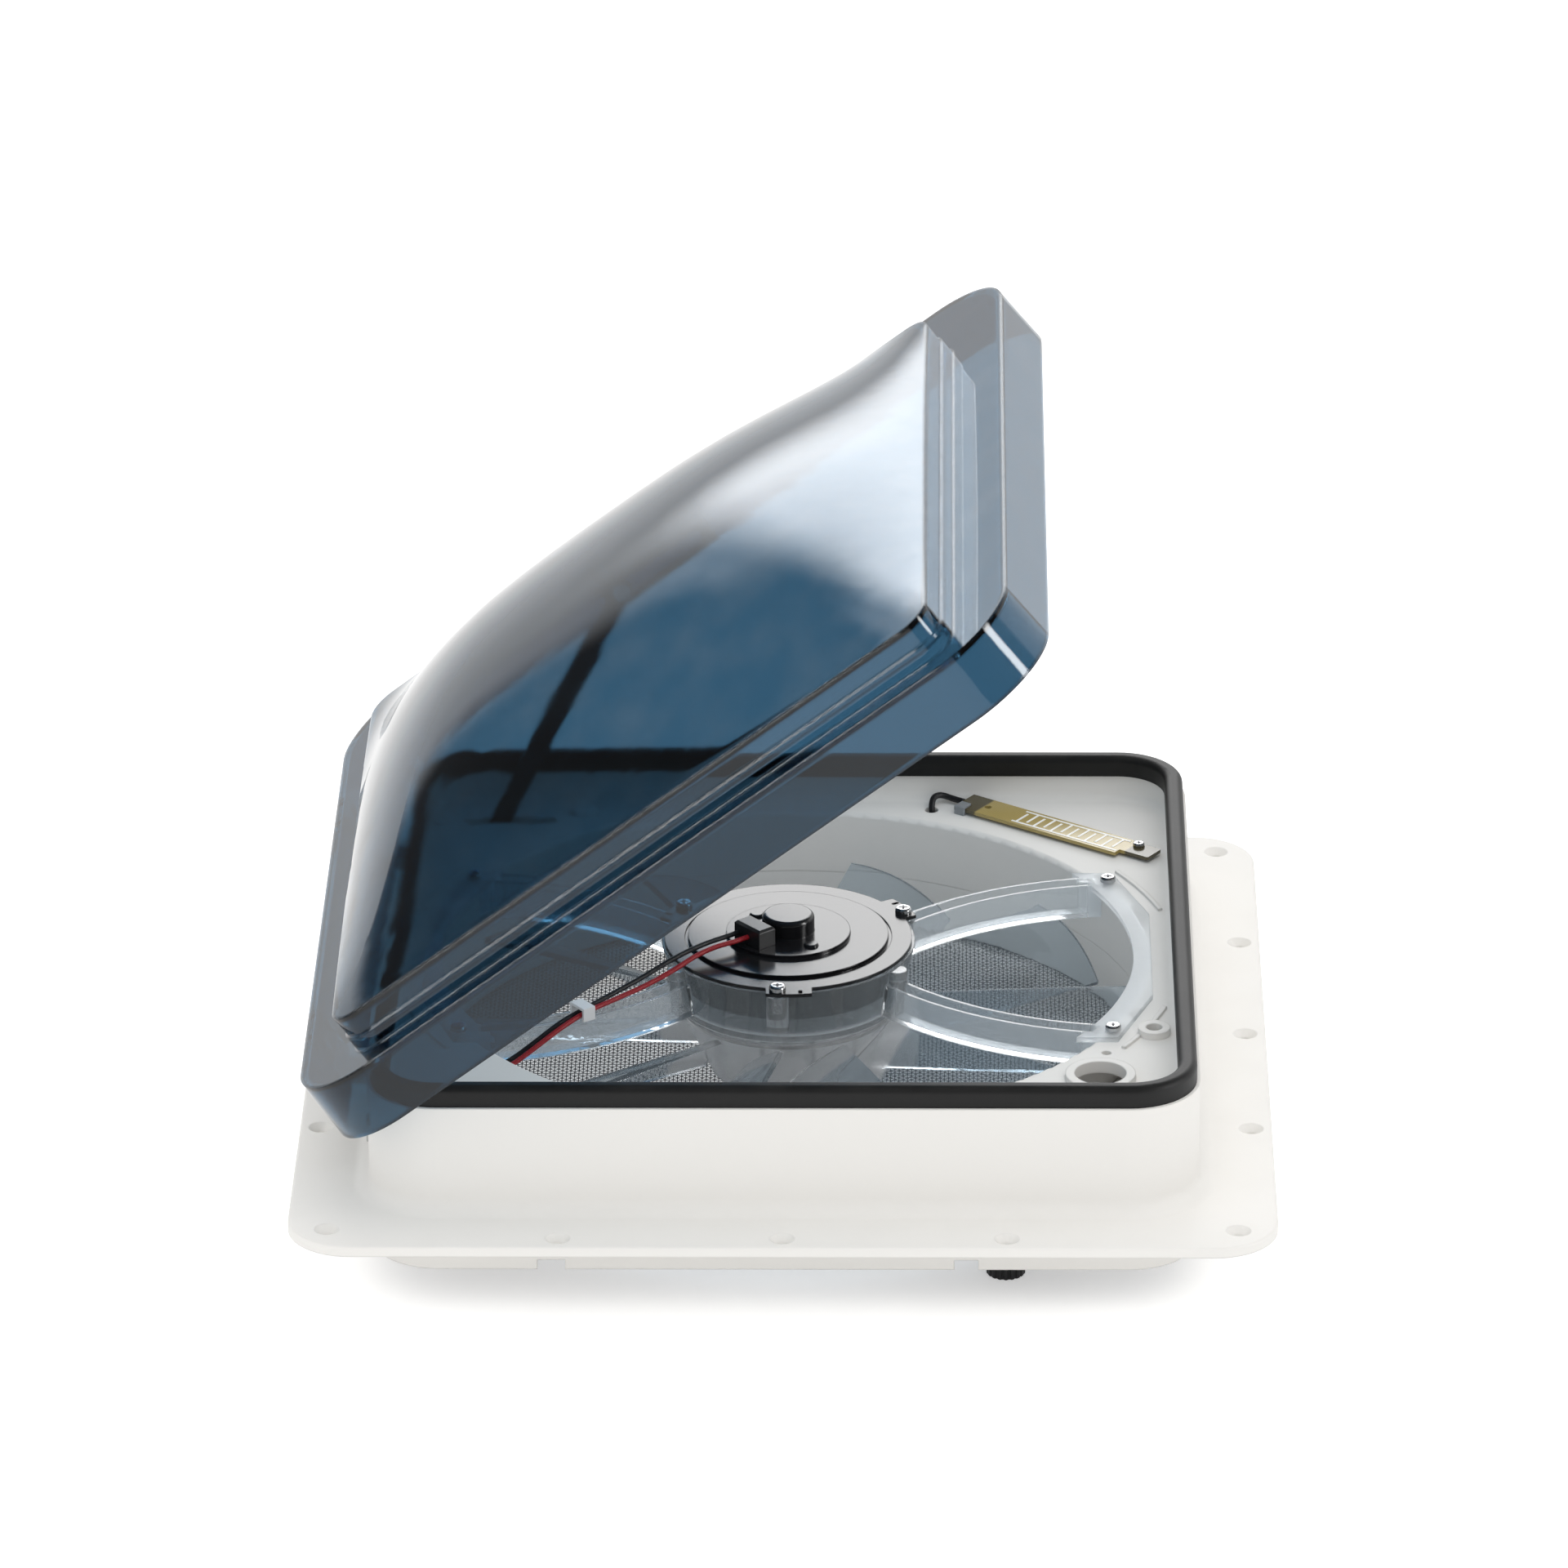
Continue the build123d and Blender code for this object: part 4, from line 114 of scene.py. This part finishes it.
def vector_maths(tree, operation, a, b=(0, 0, 0)):
    """One step on vectors: a vector socket, and a number socket for a length or a product."""
    return add(tree, "ShaderNodeVectorMath", {"operation": operation}, i0=a, i1=b).outputs


def place(tree):
    """Position in metres on the piece."""
    return add(tree, "ShaderNodeTexCoord").outputs["Object"]


def noise(tree, scale, detail=3.0, where=None):
    """Grey noise, one value from 0 to 1."""
    node = add(tree, "ShaderNodeTexNoise", Vector=where or place(tree), Scale=scale, Detail=detail)
    return node.outputs[0]


def scaled(tree, colour, factor):
    """A colour made brighter or darker."""
    settings = {"operation": "SCALE"}
    return add(tree, "ShaderNodeVectorMath", settings, i0=colour, Scale=factor).outputs[0]


def new_group(name, inputs, outputs):
    """An empty node group with float or colour sockets."""
    tree = bpy.data.node_groups.new(name, "ShaderNodeTree")
    for label, kind, value in inputs:
        socket = tree.interface.new_socket(label, in_out="INPUT", socket_type=kind)
        socket.default_value = value
    for label, kind in outputs:
        tree.interface.new_socket(label, in_out="OUTPUT", socket_type=kind)
    return tree, tree.nodes.new("NodeGroupInput").outputs, tree.nodes.new("NodeGroupOutput").inputs


FLOAT, COLOUR = "NodeSocketFloat", "NodeSocketColor"

# %% [markdown]
# ## Moulded grain
# Injection moulded plastic is never a perfect mirror: a fine spark-eroded grain breaks up
# highlights and the gloss drifts slowly across a wall. A texture of scratches could do it, but two
# noises of very different size are enough and have no seams.

# %% Group: moulded grain
tree, given, result = new_group(
    "moulded_grain",
    [("Roughness", FLOAT, 0.4), ("Drift", FLOAT, 0.06), ("Grain", FLOAT, 2200.0)],
    [("Roughness", FLOAT), ("Height", FLOAT)],
)
slow = maths(tree, "SUBTRACT", noise(tree, 9.0), 0.5)
tree.links.new(
    maths(tree, "ADD", given["Roughness"], maths(tree, "MULTIPLY", slow, given["Drift"])),
    result["Roughness"],
)
tree.links.new(noise(tree, given["Grain"], 2.0), result["Height"])
moulded_grain = tree

# %% [markdown]
# ## Settled dust
# Dust lies on faces that look up and gathers unevenly. The face's own normal tells where, a noise
# tells how much. It turns the colour a little warmer and greyer and takes the gloss down.

# %% Group: settled dust
tree, given, result = new_group(
    "settled_dust",
    [("Base Color", COLOUR, (0.8, 0.8, 0.8, 1)), ("Roughness", FLOAT, 0.4), ("Amount", FLOAT, 0.1)],
    [("Base Color", COLOUR), ("Roughness", FLOAT)],
)
facing = add(
    tree, "ShaderNodeSeparateXYZ", Vector=add(tree, "ShaderNodeNewGeometry").outputs["Normal"]
).outputs[2]
patches = fade(tree, noise(tree, 45.0, 6.0), 0.35, 0.75)
dust = maths(tree, "MULTIPLY", fade(tree, facing, 0.2, 0.95), patches)
dust = maths(tree, "MULTIPLY", dust, given["Amount"])
tree.links.new(
    mix_colour(tree, dust, given["Base Color"], (0.52, 0.49, 0.44, 1)), result["Base Color"]
)
tree.links.new(
    maths(tree, "ADD", given["Roughness"], maths(tree, "MULTIPLY", dust, 0.5)), result["Roughness"]
)
settled_dust = tree

# %% [markdown]
# ## Drawn and turned metal
# Screws, plates and shafts carry fine lines left by drawing and turning. Noise squeezed along one
# direction gives such lines; it feeds the colour a little and the roughness more.

# %% Group: worked metal
tree, given, result = new_group(
    "worked_metal",
    [
        ("Base Color", COLOUR, (0.6, 0.6, 0.6, 1)),
        ("Roughness", FLOAT, 0.3),
        ("Lines", FLOAT, 900.0),
    ],
    [("Base Color", COLOUR), ("Roughness", FLOAT), ("Height", FLOAT)],
)
squeezed = add(
    tree, "ShaderNodeMapping", {"vector_type": "POINT"}, Vector=place(tree), Scale=(1.0, 0.15, 1.6)
).outputs[0]
lines = noise(tree, given["Lines"], 3.0, squeezed)
blotch = fade(tree, noise(tree, 130.0, 4.0), 0.3, 0.7, 0.82, 1.0)
tree.links.new(scaled(tree, given["Base Color"], blotch), result["Base Color"])
tree.links.new(
    maths(tree, "ADD", given["Roughness"], fade(tree, lines, 0.2, 0.8, -0.06, 0.1)),
    result["Roughness"],
)
tree.links.new(lines, result["Height"])
worked_metal = tree

# %% [markdown]
# ## Braided sheath
# The leads show a fine woven skin in the photo. Two sets of slanting waves cross each other; where
# both are high the thread is on top. The colour is darkened in the dips between threads as painted
# shade and lifted on the thread tops as a painted highlight.

# %% Group: braid
tree, given, result = new_group(
    "braid",
    [("Base Color", COLOUR, (0.5, 0.1, 0.1, 1)), ("Threads", FLOAT, 700.0)],
    [("Base Color", COLOUR), ("Height", FLOAT)],
)
crossing = []
for slant in (0.7, -0.7):
    turned = add(
        tree, "ShaderNodeMapping", Vector=place(tree), Rotation=(0.5, slant, slant)
    ).outputs[0]
    wave = add(tree, "ShaderNodeTexWave", Vector=turned, Scale=given["Threads"], Distortion=0.4)
    crossing.append(wave.outputs[1])
weave = maths(tree, "MULTIPLY", crossing[0], crossing[1])
# painted shade in the dips between threads, painted highlight on the thread tops
shade = fade(tree, weave, 0.1, 0.7, 0.6, 1.15)
tree.links.new(scaled(tree, given["Base Color"], shade), result["Base Color"])
tree.links.new(weave, result["Height"])
braid = tree
print("groups", [g.name for g in (moulded_grain, settled_dust, worked_metal, braid)])

# %% [markdown]
# ## Finishes
# A finish is a Principled shader with one or two of the groups in front of it. The Bevel node bends
# the normal near sharp edges, so each edge catches a thin highlight as a moulded edge does, without
# any change to the CAD mesh.


# %% Opaque finishes
def start(name):
    """A new material's tree and its Principled shader."""
    material = bpy.data.materials.new(name)
    material.use_nodes = True
    return material, material.node_tree, material.node_tree.nodes["Principled BSDF"]


def use(tree, group, **inputs):
    """A node group placed in a material."""
    node = tree.nodes.new("ShaderNodeGroup")
    node.node_tree = group
    for name, value in inputs.items():
        feed(tree, node.inputs[name.replace("_", " ")], value)
    return node.outputs


def relief(tree, shader, height, depth, edge):
    """Bump from a height, over edges rounded by a radius."""
    bump = add(tree, "ShaderNodeBump", Height=height, Strength=0.6, Distance=depth)
    if edge:
        rounded = add(tree, "ShaderNodeBevel", {"samples": 4}, Radius=edge)
        tree.links.new(rounded.outputs[0], bump.inputs["Normal"])
    tree.links.new(bump.outputs[0], shader.inputs["Normal"])


def moulded(
    name, colour, roughness,
    dust=0.1, coat=0.0, grain=2200.0, depth=0.02 * mm, edge=0.6 * mm, shine=0.5,
):
    """Plastic, rubber or paint: grain, dust on top and softened edges."""
    material, tree, shader = start(name)
    skin = use(tree, moulded_grain, Roughness=roughness, Grain=grain)
    dusty = use(
        tree, settled_dust, Base_Color=(*colour, 1), Roughness=skin["Roughness"], Amount=dust
    )
    tree.links.new(dusty["Base Color"], shader.inputs["Base Color"])
    tree.links.new(dusty["Roughness"], shader.inputs["Roughness"])
    shader.inputs["Specular IOR Level"].default_value = shine
    shader.inputs["Coat Weight"].default_value = coat
    shader.inputs["Coat Roughness"].default_value = 0.06
    relief(tree, shader, skin["Height"], depth, edge)
    return material


def metal(name, colour, roughness, lines=900.0, depth=0.008 * mm, edge=0.3 * mm):
    """Bare or plated metal with working lines."""
    material, tree, shader = start(name)
    skin = use(tree, worked_metal, Base_Color=(*colour, 1), Roughness=roughness, Lines=lines)
    tree.links.new(skin["Base Color"], shader.inputs["Base Color"])
    tree.links.new(skin["Roughness"], shader.inputs["Roughness"])
    shader.inputs["Metallic"].default_value = 1.0
    relief(tree, shader, skin["Height"], depth, edge)
    return material


def sheathed(name, colour):
    """Woven skin of a lead."""
    material, tree, shader = start(name)
    skin = use(tree, braid, Base_Color=(*colour, 1))
    tree.links.new(skin["Base Color"], shader.inputs["Base Color"])
    shader.inputs["Roughness"].default_value = 0.42
    relief(tree, shader, skin["Height"], 0.12 * mm, 0)
    return material


# %% [markdown]
# ## Clear plastics
# Lid, bracket and fan are clear. The shader tints light once on its way through a wall. Shadow and
# diffuse rays pass as if through a tinted film, so light reaches the deck under the lid without the
# noise of true caustics.


# %% Clear finishes
def see_through(
    name, colour, roughness, ripple, ripple_size, edge,
    clearness=1.0, shade=None, core=None, frost=None,
):
    """Transmissive plastic with a slight ripple. shade is the tint of its shadow. core gives a
    distance from the fan's axis and a height, with the colour and added roughness of what lies
    inside
    and above: on the bracket that colour is painted shade standing in for the dark motor can seen
    through the wall, on the fan it gives the hub a clearer tint. frost is the distance where a matt
    face begins."""
    material, tree, shader = start(name)
    skin = use(tree, moulded_grain, Roughness=roughness, Drift=roughness * 0.6, Grain=ripple_size)
    tint, gloss = (*colour, 1), skin["Roughness"]
    flat = vector_maths(tree, "MULTIPLY", place(tree), (1, 1, 0))[0]
    away = vector_maths(tree, "LENGTH", flat)[1]
    if core:
        distance, level, inner_tint_and_painted_shade, haze = core
        rise = add(tree, "ShaderNodeSeparateXYZ", Vector=place(tree)).outputs[2]
        inside = maths(
            tree, "MULTIPLY", fade(tree, away, distance, distance + 3 * mm, 1.0, 0.0),
            fade(tree, rise, level - 1 * mm, level + 1 * mm),
        )
        # on the bracket this colour is painted shade, standing in for the black can seen through
        # the cup wall
        tint = mix_colour(tree, inside, tint, (*inner_tint_and_painted_shade, 1))
        gloss = maths(tree, "MULTIPLY_ADD", inside, haze, gloss)
    if frost:
        matt = fade(tree, away, frost, frost + 2 * mm, 0.0, 0.5)
        gloss = maths(tree, "ADD", gloss, matt)
    dusty = use(tree, settled_dust, Base_Color=tint, Roughness=gloss, Amount=0.05)
    tree.links.new(dusty["Base Color"], shader.inputs["Base Color"])
    tree.links.new(dusty["Roughness"], shader.inputs["Roughness"])
    shader.inputs["Transmission Weight"].default_value = clearness
    shader.inputs["IOR"].default_value = 1.49
    relief(tree, shader, skin["Height"], ripple, edge)
    path = tree.nodes.new("ShaderNodeLightPath").outputs
    passing = maths(tree, "MAXIMUM", path["Is Shadow Ray"], path["Is Diffuse Ray"])
    film = add(tree, "ShaderNodeBsdfTransparent", Color=(*[sqrt(c) for c in shade or colour], 1))
    both = add(tree, "ShaderNodeMixShader", Fac=passing)
    tree.links.new(shader.outputs[0], both.inputs[1])
    tree.links.new(film.outputs[0], both.inputs[2])
    tree.links.new(both.outputs[0], tree.nodes["Material Output"].inputs["Surface"])
    return material


# %% [markdown]
# ## Sensor board
# The laminate is gold-brown under lacquer, with glass cloth faintly visible, and both ends are dark
# where the resist and the solder are. A distance along the board, from its middle, picks the ends.


# %% Board finish
board_turn, board_middle = radians(-35), Vector((118.0, 132.2, 0.0)) * mm
laminate_half, laminate_edge = 38.5 * mm, 1.5 * mm


def board_finish():
    """Lacquered laminate with dark ends."""
    material, tree, shader = start("sensor_board")
    lengthways = Vector((cos(board_turn), sin(board_turn), 0))
    along = vector_maths(tree, "DOT_PRODUCT", place(tree), lengthways)[1]
    out = maths(tree, "ABSOLUTE", maths(tree, "SUBTRACT", along, board_middle.dot(lengthways)))
    cloth = add(tree, "ShaderNodeTexChecker", Vector=place(tree), Scale=1400.0).outputs["Fac"]
    laminate = mix_colour(tree, cloth, (0.37, 0.285, 0.095, 1), (0.43, 0.33, 0.12, 1))
    ends = fade(tree, out, laminate_half, laminate_half + laminate_edge)
    colour = mix_colour(tree, ends, laminate, (0.09, 0.075, 0.04, 1))
    tree.links.new(colour, shader.inputs["Base Color"])
    skin = use(tree, moulded_grain, Roughness=0.22, Grain=900.0)
    tree.links.new(skin["Roughness"], shader.inputs["Roughness"])
    relief(tree, shader, skin["Height"], 0.02 * mm, 0)
    return material


# %% [markdown]
# ## The list of finishes
# One finish for each slot of the record, matched to the photo: warm white housing, cool deep
# blue-grey lid, gloss black motor plate, colourless bracket and fan.

# %% Build the finishes
finishes = {
    "white": moulded("white", (0.80, 0.785, 0.755), 0.5, dust=0.03, edge=1.2 * mm, shine=0.18),
    "rubber": moulded(
        "rubber", (0.01, 0.01, 0.01), 0.5, dust=0.02, grain=1500.0, depth=0.05 * mm, shine=0.3
    ),
    "steel": metal("steel", (0.66, 0.66, 0.67), 0.2),
    "mesh": metal("mesh", (0.13, 0.134, 0.142), 0.48, edge=0),
    # The bracket's grey core colour is painted shade: it stands in for the black motor can seen
    # through the upper cup wall.
    "clear": see_through(
        "clear", (0.93, 0.96, 0.98), 0.04, 0.22 * mm, 130.0, 0.8 * mm, clearness=0.88,
        core=(56 * mm, 28 * mm, (0.5, 0.53, 0.55), 0.0), frost=148 * mm,
    ),
    "blade": see_through(
        "blade", (0.68, 0.75, 0.8), 0.03, 0.1 * mm, 90.0, 0.6 * mm, clearness=0.94,
        shade=(0.9, 0.93, 0.95), core=(56 * mm, -20 * mm, (0.97, 0.98, 0.99), 0.2),
    ),
    "motor_black": moulded("motor_black", (0.008, 0.008, 0.009), 0.2, dust=0.02, edge=0.7 * mm),
    "magnet": metal("magnet", (0.16, 0.16, 0.17), 0.5),
    "bronze": metal("bronze", (0.62, 0.42, 0.2), 0.35),
    "brown_board": moulded("brown_board", (0.2, 0.1, 0.045), 0.5),
    "carbon": moulded("carbon", (0.03, 0.03, 0.03), 0.55),
    "black_plastic": moulded("black_plastic", (0.012, 0.012, 0.013), 0.28),
    "red_sheath": sheathed("red_sheath", (0.42, 0.012, 0.02)),
    "black_sheath": sheathed("black_sheath", (0.014, 0.014, 0.016)),
    "white_clip": moulded("white_clip", (0.82, 0.82, 0.82), 0.3),
    "sensor_board": board_finish(),
    "trace": moulded("trace", (0.88, 0.87, 0.82), 0.3, dust=0.02, edge=0),
    "frosted": see_through(
        "frosted", (0.5, 0.53, 0.56), 0.3, 0.04 * mm, 900.0, 0.6 * mm, clearness=0.7
    ),
    "hinge_metal": moulded("hinge_metal", (0.55, 0.55, 0.54), 0.35, coat=0.2),
    "zinc_plate": metal("zinc_plate", (0.55, 0.56, 0.58), 0.32),
    "motor_steel": metal("motor_steel", (0.4, 0.4, 0.42), 0.35),
    "smoke": see_through(
        "smoke", (0.027, 0.085, 0.148), 0.025, 0.03 * mm, 35.0, 2.2 * mm, shade=(0.36, 0.43, 0.49)
    ),
    "arm_black": moulded("arm_black", (0.012, 0.012, 0.013), 0.35),
    "knob_black": moulded("knob_black", (0.01, 0.01, 0.011), 0.32),
}
clearer = {"fan_wheel": "blade"}
for part in frame["record"]["subparts"]:
    chosen = clearer.get(part["node"], part["material_slot"])
    for holder in frame["nodes"][part["node"]].material_slots:
        holder.material = finishes[chosen]

# %% [markdown]
# ## Insect screen
# The CAD screen is a thin slotted disc, good enough to stop an insect in a simulation. The photo
# shows a woven wire cloth. Each wire here is a tube of square section that goes over one wire and
# under the next; crossings are the only points needed, because the pitch is under two millimetres.

# %% Weave the screen
screen_radius, screen_pitch, wire = 160.8 * mm, 1.8 * mm, 0.21 * mm
screen_low, screen_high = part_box("insect_screen")
screen_height = (screen_low.z + screen_high.z) / 2
points, faces = [], []


def weave_wire(row, lengthways):
    """One wire across the disc at a row, over and under those that cross it."""
    count = int((sqrt(max(screen_radius**2 - (row * screen_pitch) ** 2, 0)) - wire) / screen_pitch)
    for step in range(-count, count + 1):
        over = 1 if (row + step) % 2 == (0 if lengthways else 1) else -1
        a, b = step * screen_pitch, row * screen_pitch
        height = screen_height + over * wire
        for across, rise in ((wire, 0), (0, wire), (-wire, 0), (0, -wire)):
            x, y = (a, b + across) if lengthways else (b + across, a)
            points.append((x, y, height + rise))
        if step > -count:
            base = len(points) - 8
            for k in range(4):
                after = (k + 1) % 4
                faces.append((base + k, base + after, base + 4 + after, base + 4 + k))


rows = int(screen_radius / screen_pitch)
for row in range(-rows, rows + 1):
    weave_wire(row, True)
    weave_wire(row, False)
woven = bpy.data.meshes.new("woven_screen")
woven.from_pydata(points, [], faces)
screen = bpy.data.objects.new("woven_screen", woven)
scene.collection.objects.link(screen)
woven.materials.append(finishes["mesh"])
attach(screen, "base")
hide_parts("insect_screen")
print("screen wires", 2 * (2 * rows + 1), "points", len(points))

# %% [markdown]
# ## Edge binding of the screen
# Cut wire cloth is held in a pressed binding. A flat ring closes the weave where the clamp holds
# it.


# %% Binding ring
def ring(name, inner, outer, bottom, top, material, body, count=160):
    """A flat ring as a closed band of four corners."""
    corners = ((inner, bottom), (outer, bottom), (outer, top), (inner, top))
    points = [
        (r * cos(2 * pi * k / count), r * sin(2 * pi * k / count), z)
        for k in range(count) for r, z in corners
    ]
    faces = []
    for k in range(count):
        here, ahead = 4 * k, 4 * ((k + 1) % count)
        for i in range(4):
            after = (i + 1) % 4
            faces.append((here + i, here + after, ahead + after, ahead + i))
    mesh = bpy.data.meshes.new(name)
    mesh.from_pydata(points, [], faces)
    piece = bpy.data.objects.new(name, mesh)
    scene.collection.objects.link(piece)
    mesh.materials.append(material)
    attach(piece, body)
    print(name, "faces", len(faces))


binding_inner, binding_outer = 156.5 * mm, 161.0 * mm
ring(
    "screen_binding", binding_inner, binding_outer, screen_low.z, screen_high.z,
    finishes["mesh"], "base",
)

# %% [markdown]
# ## Smooth shading
# Round pieces are shaded smooth. The CAD meshes keep a split at each real edge, so smooth shading
# doesn't smear across them.

# %% Shade
for node in frame["nodes"].values():
    node.data.polygons.foreach_set("use_smooth", [True] * len(node.data.polygons))

# %% [markdown]
# ## Camera
# The photo was solved for its camera from the corners of the flange, the gasket and the lid: a long
# lens 4.3 m away, 24 degrees above the floor, turned one degree and tilted a third of a degree.

# %% Camera
elevation, yaw, roll = radians(24.13), radians(1.0), radians(-0.35)
focal_length, film_width = 227.89, 36.0
target, distance = Vector((-1.47, 0.0, 123.59)) * mm, 4.28343
back = Vector((sin(yaw) * cos(elevation), -cos(yaw) * cos(elevation), sin(elevation)))
right = (-back).cross(Vector((0, 0, 1))).normalized()
up = right.cross(-back)
tilted_right = right * cos(roll) + up * sin(roll)
tilted_up = up * cos(roll) - right * sin(roll)
camera_data = bpy.data.cameras.new("photo_camera")
camera_data.lens, camera_data.sensor_width = focal_length, film_width
camera_data.clip_end = 60.0
camera = bpy.data.objects.new("photo_camera", camera_data)
turn = Matrix((tilted_right, tilted_up, back)).transposed().to_4x4()
camera.matrix_world = Matrix.Translation(target + back * distance) @ turn
scene.collection.objects.link(camera)
scene.camera = camera
print("camera at", [round(v, 3) for v in camera.location])

# %% [markdown]
# ## Floor
# A plain pale floor under the lowest piece. It is lit almost to white, as in the photo, and keeps
# only the tight soft shadow below the flange.

# %% Floor
floor_reach, floor_gap = 9.0, 0.2 * mm
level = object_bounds()[0].z - floor_gap
floor_corners = [
    (x * floor_reach, y * floor_reach, level) for x, y in ((-1, -1), (1, -1), (1, 1), (-1, 1))
]
floor_mesh = bpy.data.meshes.new("studio_floor")
floor_mesh.from_pydata(floor_corners, [], [(0, 1, 2, 3)])
floor = bpy.data.objects.new("studio_floor", floor_mesh)
scene.collection.objects.link(floor)
material, tree, shader = start("studio_floor")
tone = noise(tree, 1.5, 2.0)
paper = mix_colour(tree, tone, (0.93, 0.93, 0.93, 1), (0.95, 0.95, 0.95, 1))
tree.links.new(paper, shader.inputs["Base Color"])
shader.inputs["Roughness"].default_value = 0.9
shader.inputs["Specular IOR Level"].default_value = 0.1
shader.inputs["Emission Color"].default_value = (1, 1, 1, 1)
seen = tree.nodes.new("ShaderNodeLightPath").outputs["Is Camera Ray"]
glow, glow_for_camera = 0.15, 0.27
emitted = maths(tree, "MULTIPLY_ADD", seen, glow_for_camera, glow)
tree.links.new(emitted, shader.inputs["Emission Strength"])
floor_mesh.materials.append(material)

# %% [markdown]
# ## Light
# A white tent gives the even light on the housing. In reflections the room isn't even: the photo's
# lid shows a large soft window behind and to the left, a pale wall round it, and dark towards the
# camera and high up, but for two strips that draw the white lines on its front edges (only in
# reflections, not through the plastic). The world's strength is written as that pattern of azimuth
# and height for glossy rays, and as one for all others.

# %% World
world = bpy.data.worlds.new("studio")
scene.world = world
world.use_nodes = True
tree = world.node_tree
ray = add(
    tree, "ShaderNodeSeparateXYZ", Vector=add(tree, "ShaderNodeTexCoord").outputs["Generated"]
).outputs
azimuth = maths(tree, "MULTIPLY", maths(tree, "ARCTAN2", ray[0], ray[1]), 180 / pi)
height = maths(tree, "MULTIPLY", maths(tree, "ARCSINE", ray[2]), 180 / pi)


def window(left, right, soft, bottom, top, soft_height):
    """Soft-edged patch of sky between two azimuths and two heights, in degrees."""
    sides = maths(
        tree, "MULTIPLY", fade(tree, azimuth, left - soft, left + soft),
        fade(tree, azimuth, right - soft, right + soft, 1.0, 0.0),
    )
    ends = maths(
        tree, "MULTIPLY", fade(tree, height, bottom - soft_height, bottom + soft_height),
        fade(tree, height, top - soft_height, top + soft_height, 1.0, 0.0),
    )
    return maths(tree, "MULTIPLY", sides, ends)


dim_room = 0.1
wall = window(-37.5, 80.0, 4.0, -60.0, 34.0, 4.0)
lamp = maths(tree, "MULTIPLY", window(-24.0, 14.0, 8.0, 13.0, 38.0, 7.0), 4.2)
right_strip = maths(tree, "MULTIPLY", window(101.0, 111.0, 1.0, 2.0, 34.0, 2.0), 16.0)
left_strip = maths(tree, "MULTIPLY", window(-124.0, -94.0, 2.0, 29.0, 41.0, 2.0), 15.0)
path = tree.nodes.new("ShaderNodeLightPath").outputs
reflected = maths(tree, "SUBTRACT", 1.0, path["Is Transmission Ray"])
strips = maths(tree, "MULTIPLY", maths(tree, "ADD", right_strip, left_strip), reflected)
room = maths(tree, "ADD", maths(tree, "ADD", wall, lamp), dim_room)
pattern = maths(tree, "ADD", strips, room)
strength = add(
    tree, "ShaderNodeMix", {"data_type": "FLOAT"}, i0=path["Is Glossy Ray"], i2=1.0, i3=pattern
)
backdrop = tree.nodes["Background"].inputs
backdrop["Color"].default_value = (1.0, 1.0, 1.0, 1)
tree.links.new(strength.outputs[0], backdrop["Strength"])
print("world nodes", len(tree.nodes))

# %% [markdown]
# A broad overhead panel gives form and the shadow under the flange. It is kept out of reflections,
# where the photo shows nothing overhead.

# %% Overhead panel
panel_data = bpy.data.lights.new("overhead", "AREA")
panel_data.shape, panel_data.size, panel_data.size_y = "RECTANGLE", 2.4, 2.0
panel_data.energy = 14.0
panel = bpy.data.objects.new("overhead", panel_data)
panel.location = (0.3, -0.4, 2.4)
panel.rotation_euler = (radians(-9), radians(7), 0)
panel.visible_glossy = False
scene.collection.objects.link(panel)
scene.view_settings.view_transform = "Standard"

# %% [markdown]
# The throat is open to the room below, and the photo's back wall and fan hub are brighter than the
# light from above makes them. A weak disc under the screen stands for that room. It is seen
# neither directly nor in reflections.

# %% Light from the room below
below_data = bpy.data.lights.new("below", "AREA")
below_gap = 8 * mm
below_data.shape, below_data.size, below_data.energy = "DISK", 1.7 * screen_radius, 0.12
below = bpy.data.objects.new("below", below_data)
below.location = (0, 0, screen_low.z - below_gap)
below.rotation_euler = (pi, 0, 0)
below.visible_camera = below.visible_glossy = below.visible_transmission = False
scene.collection.objects.link(below)
print("lights", panel.name, below.name)
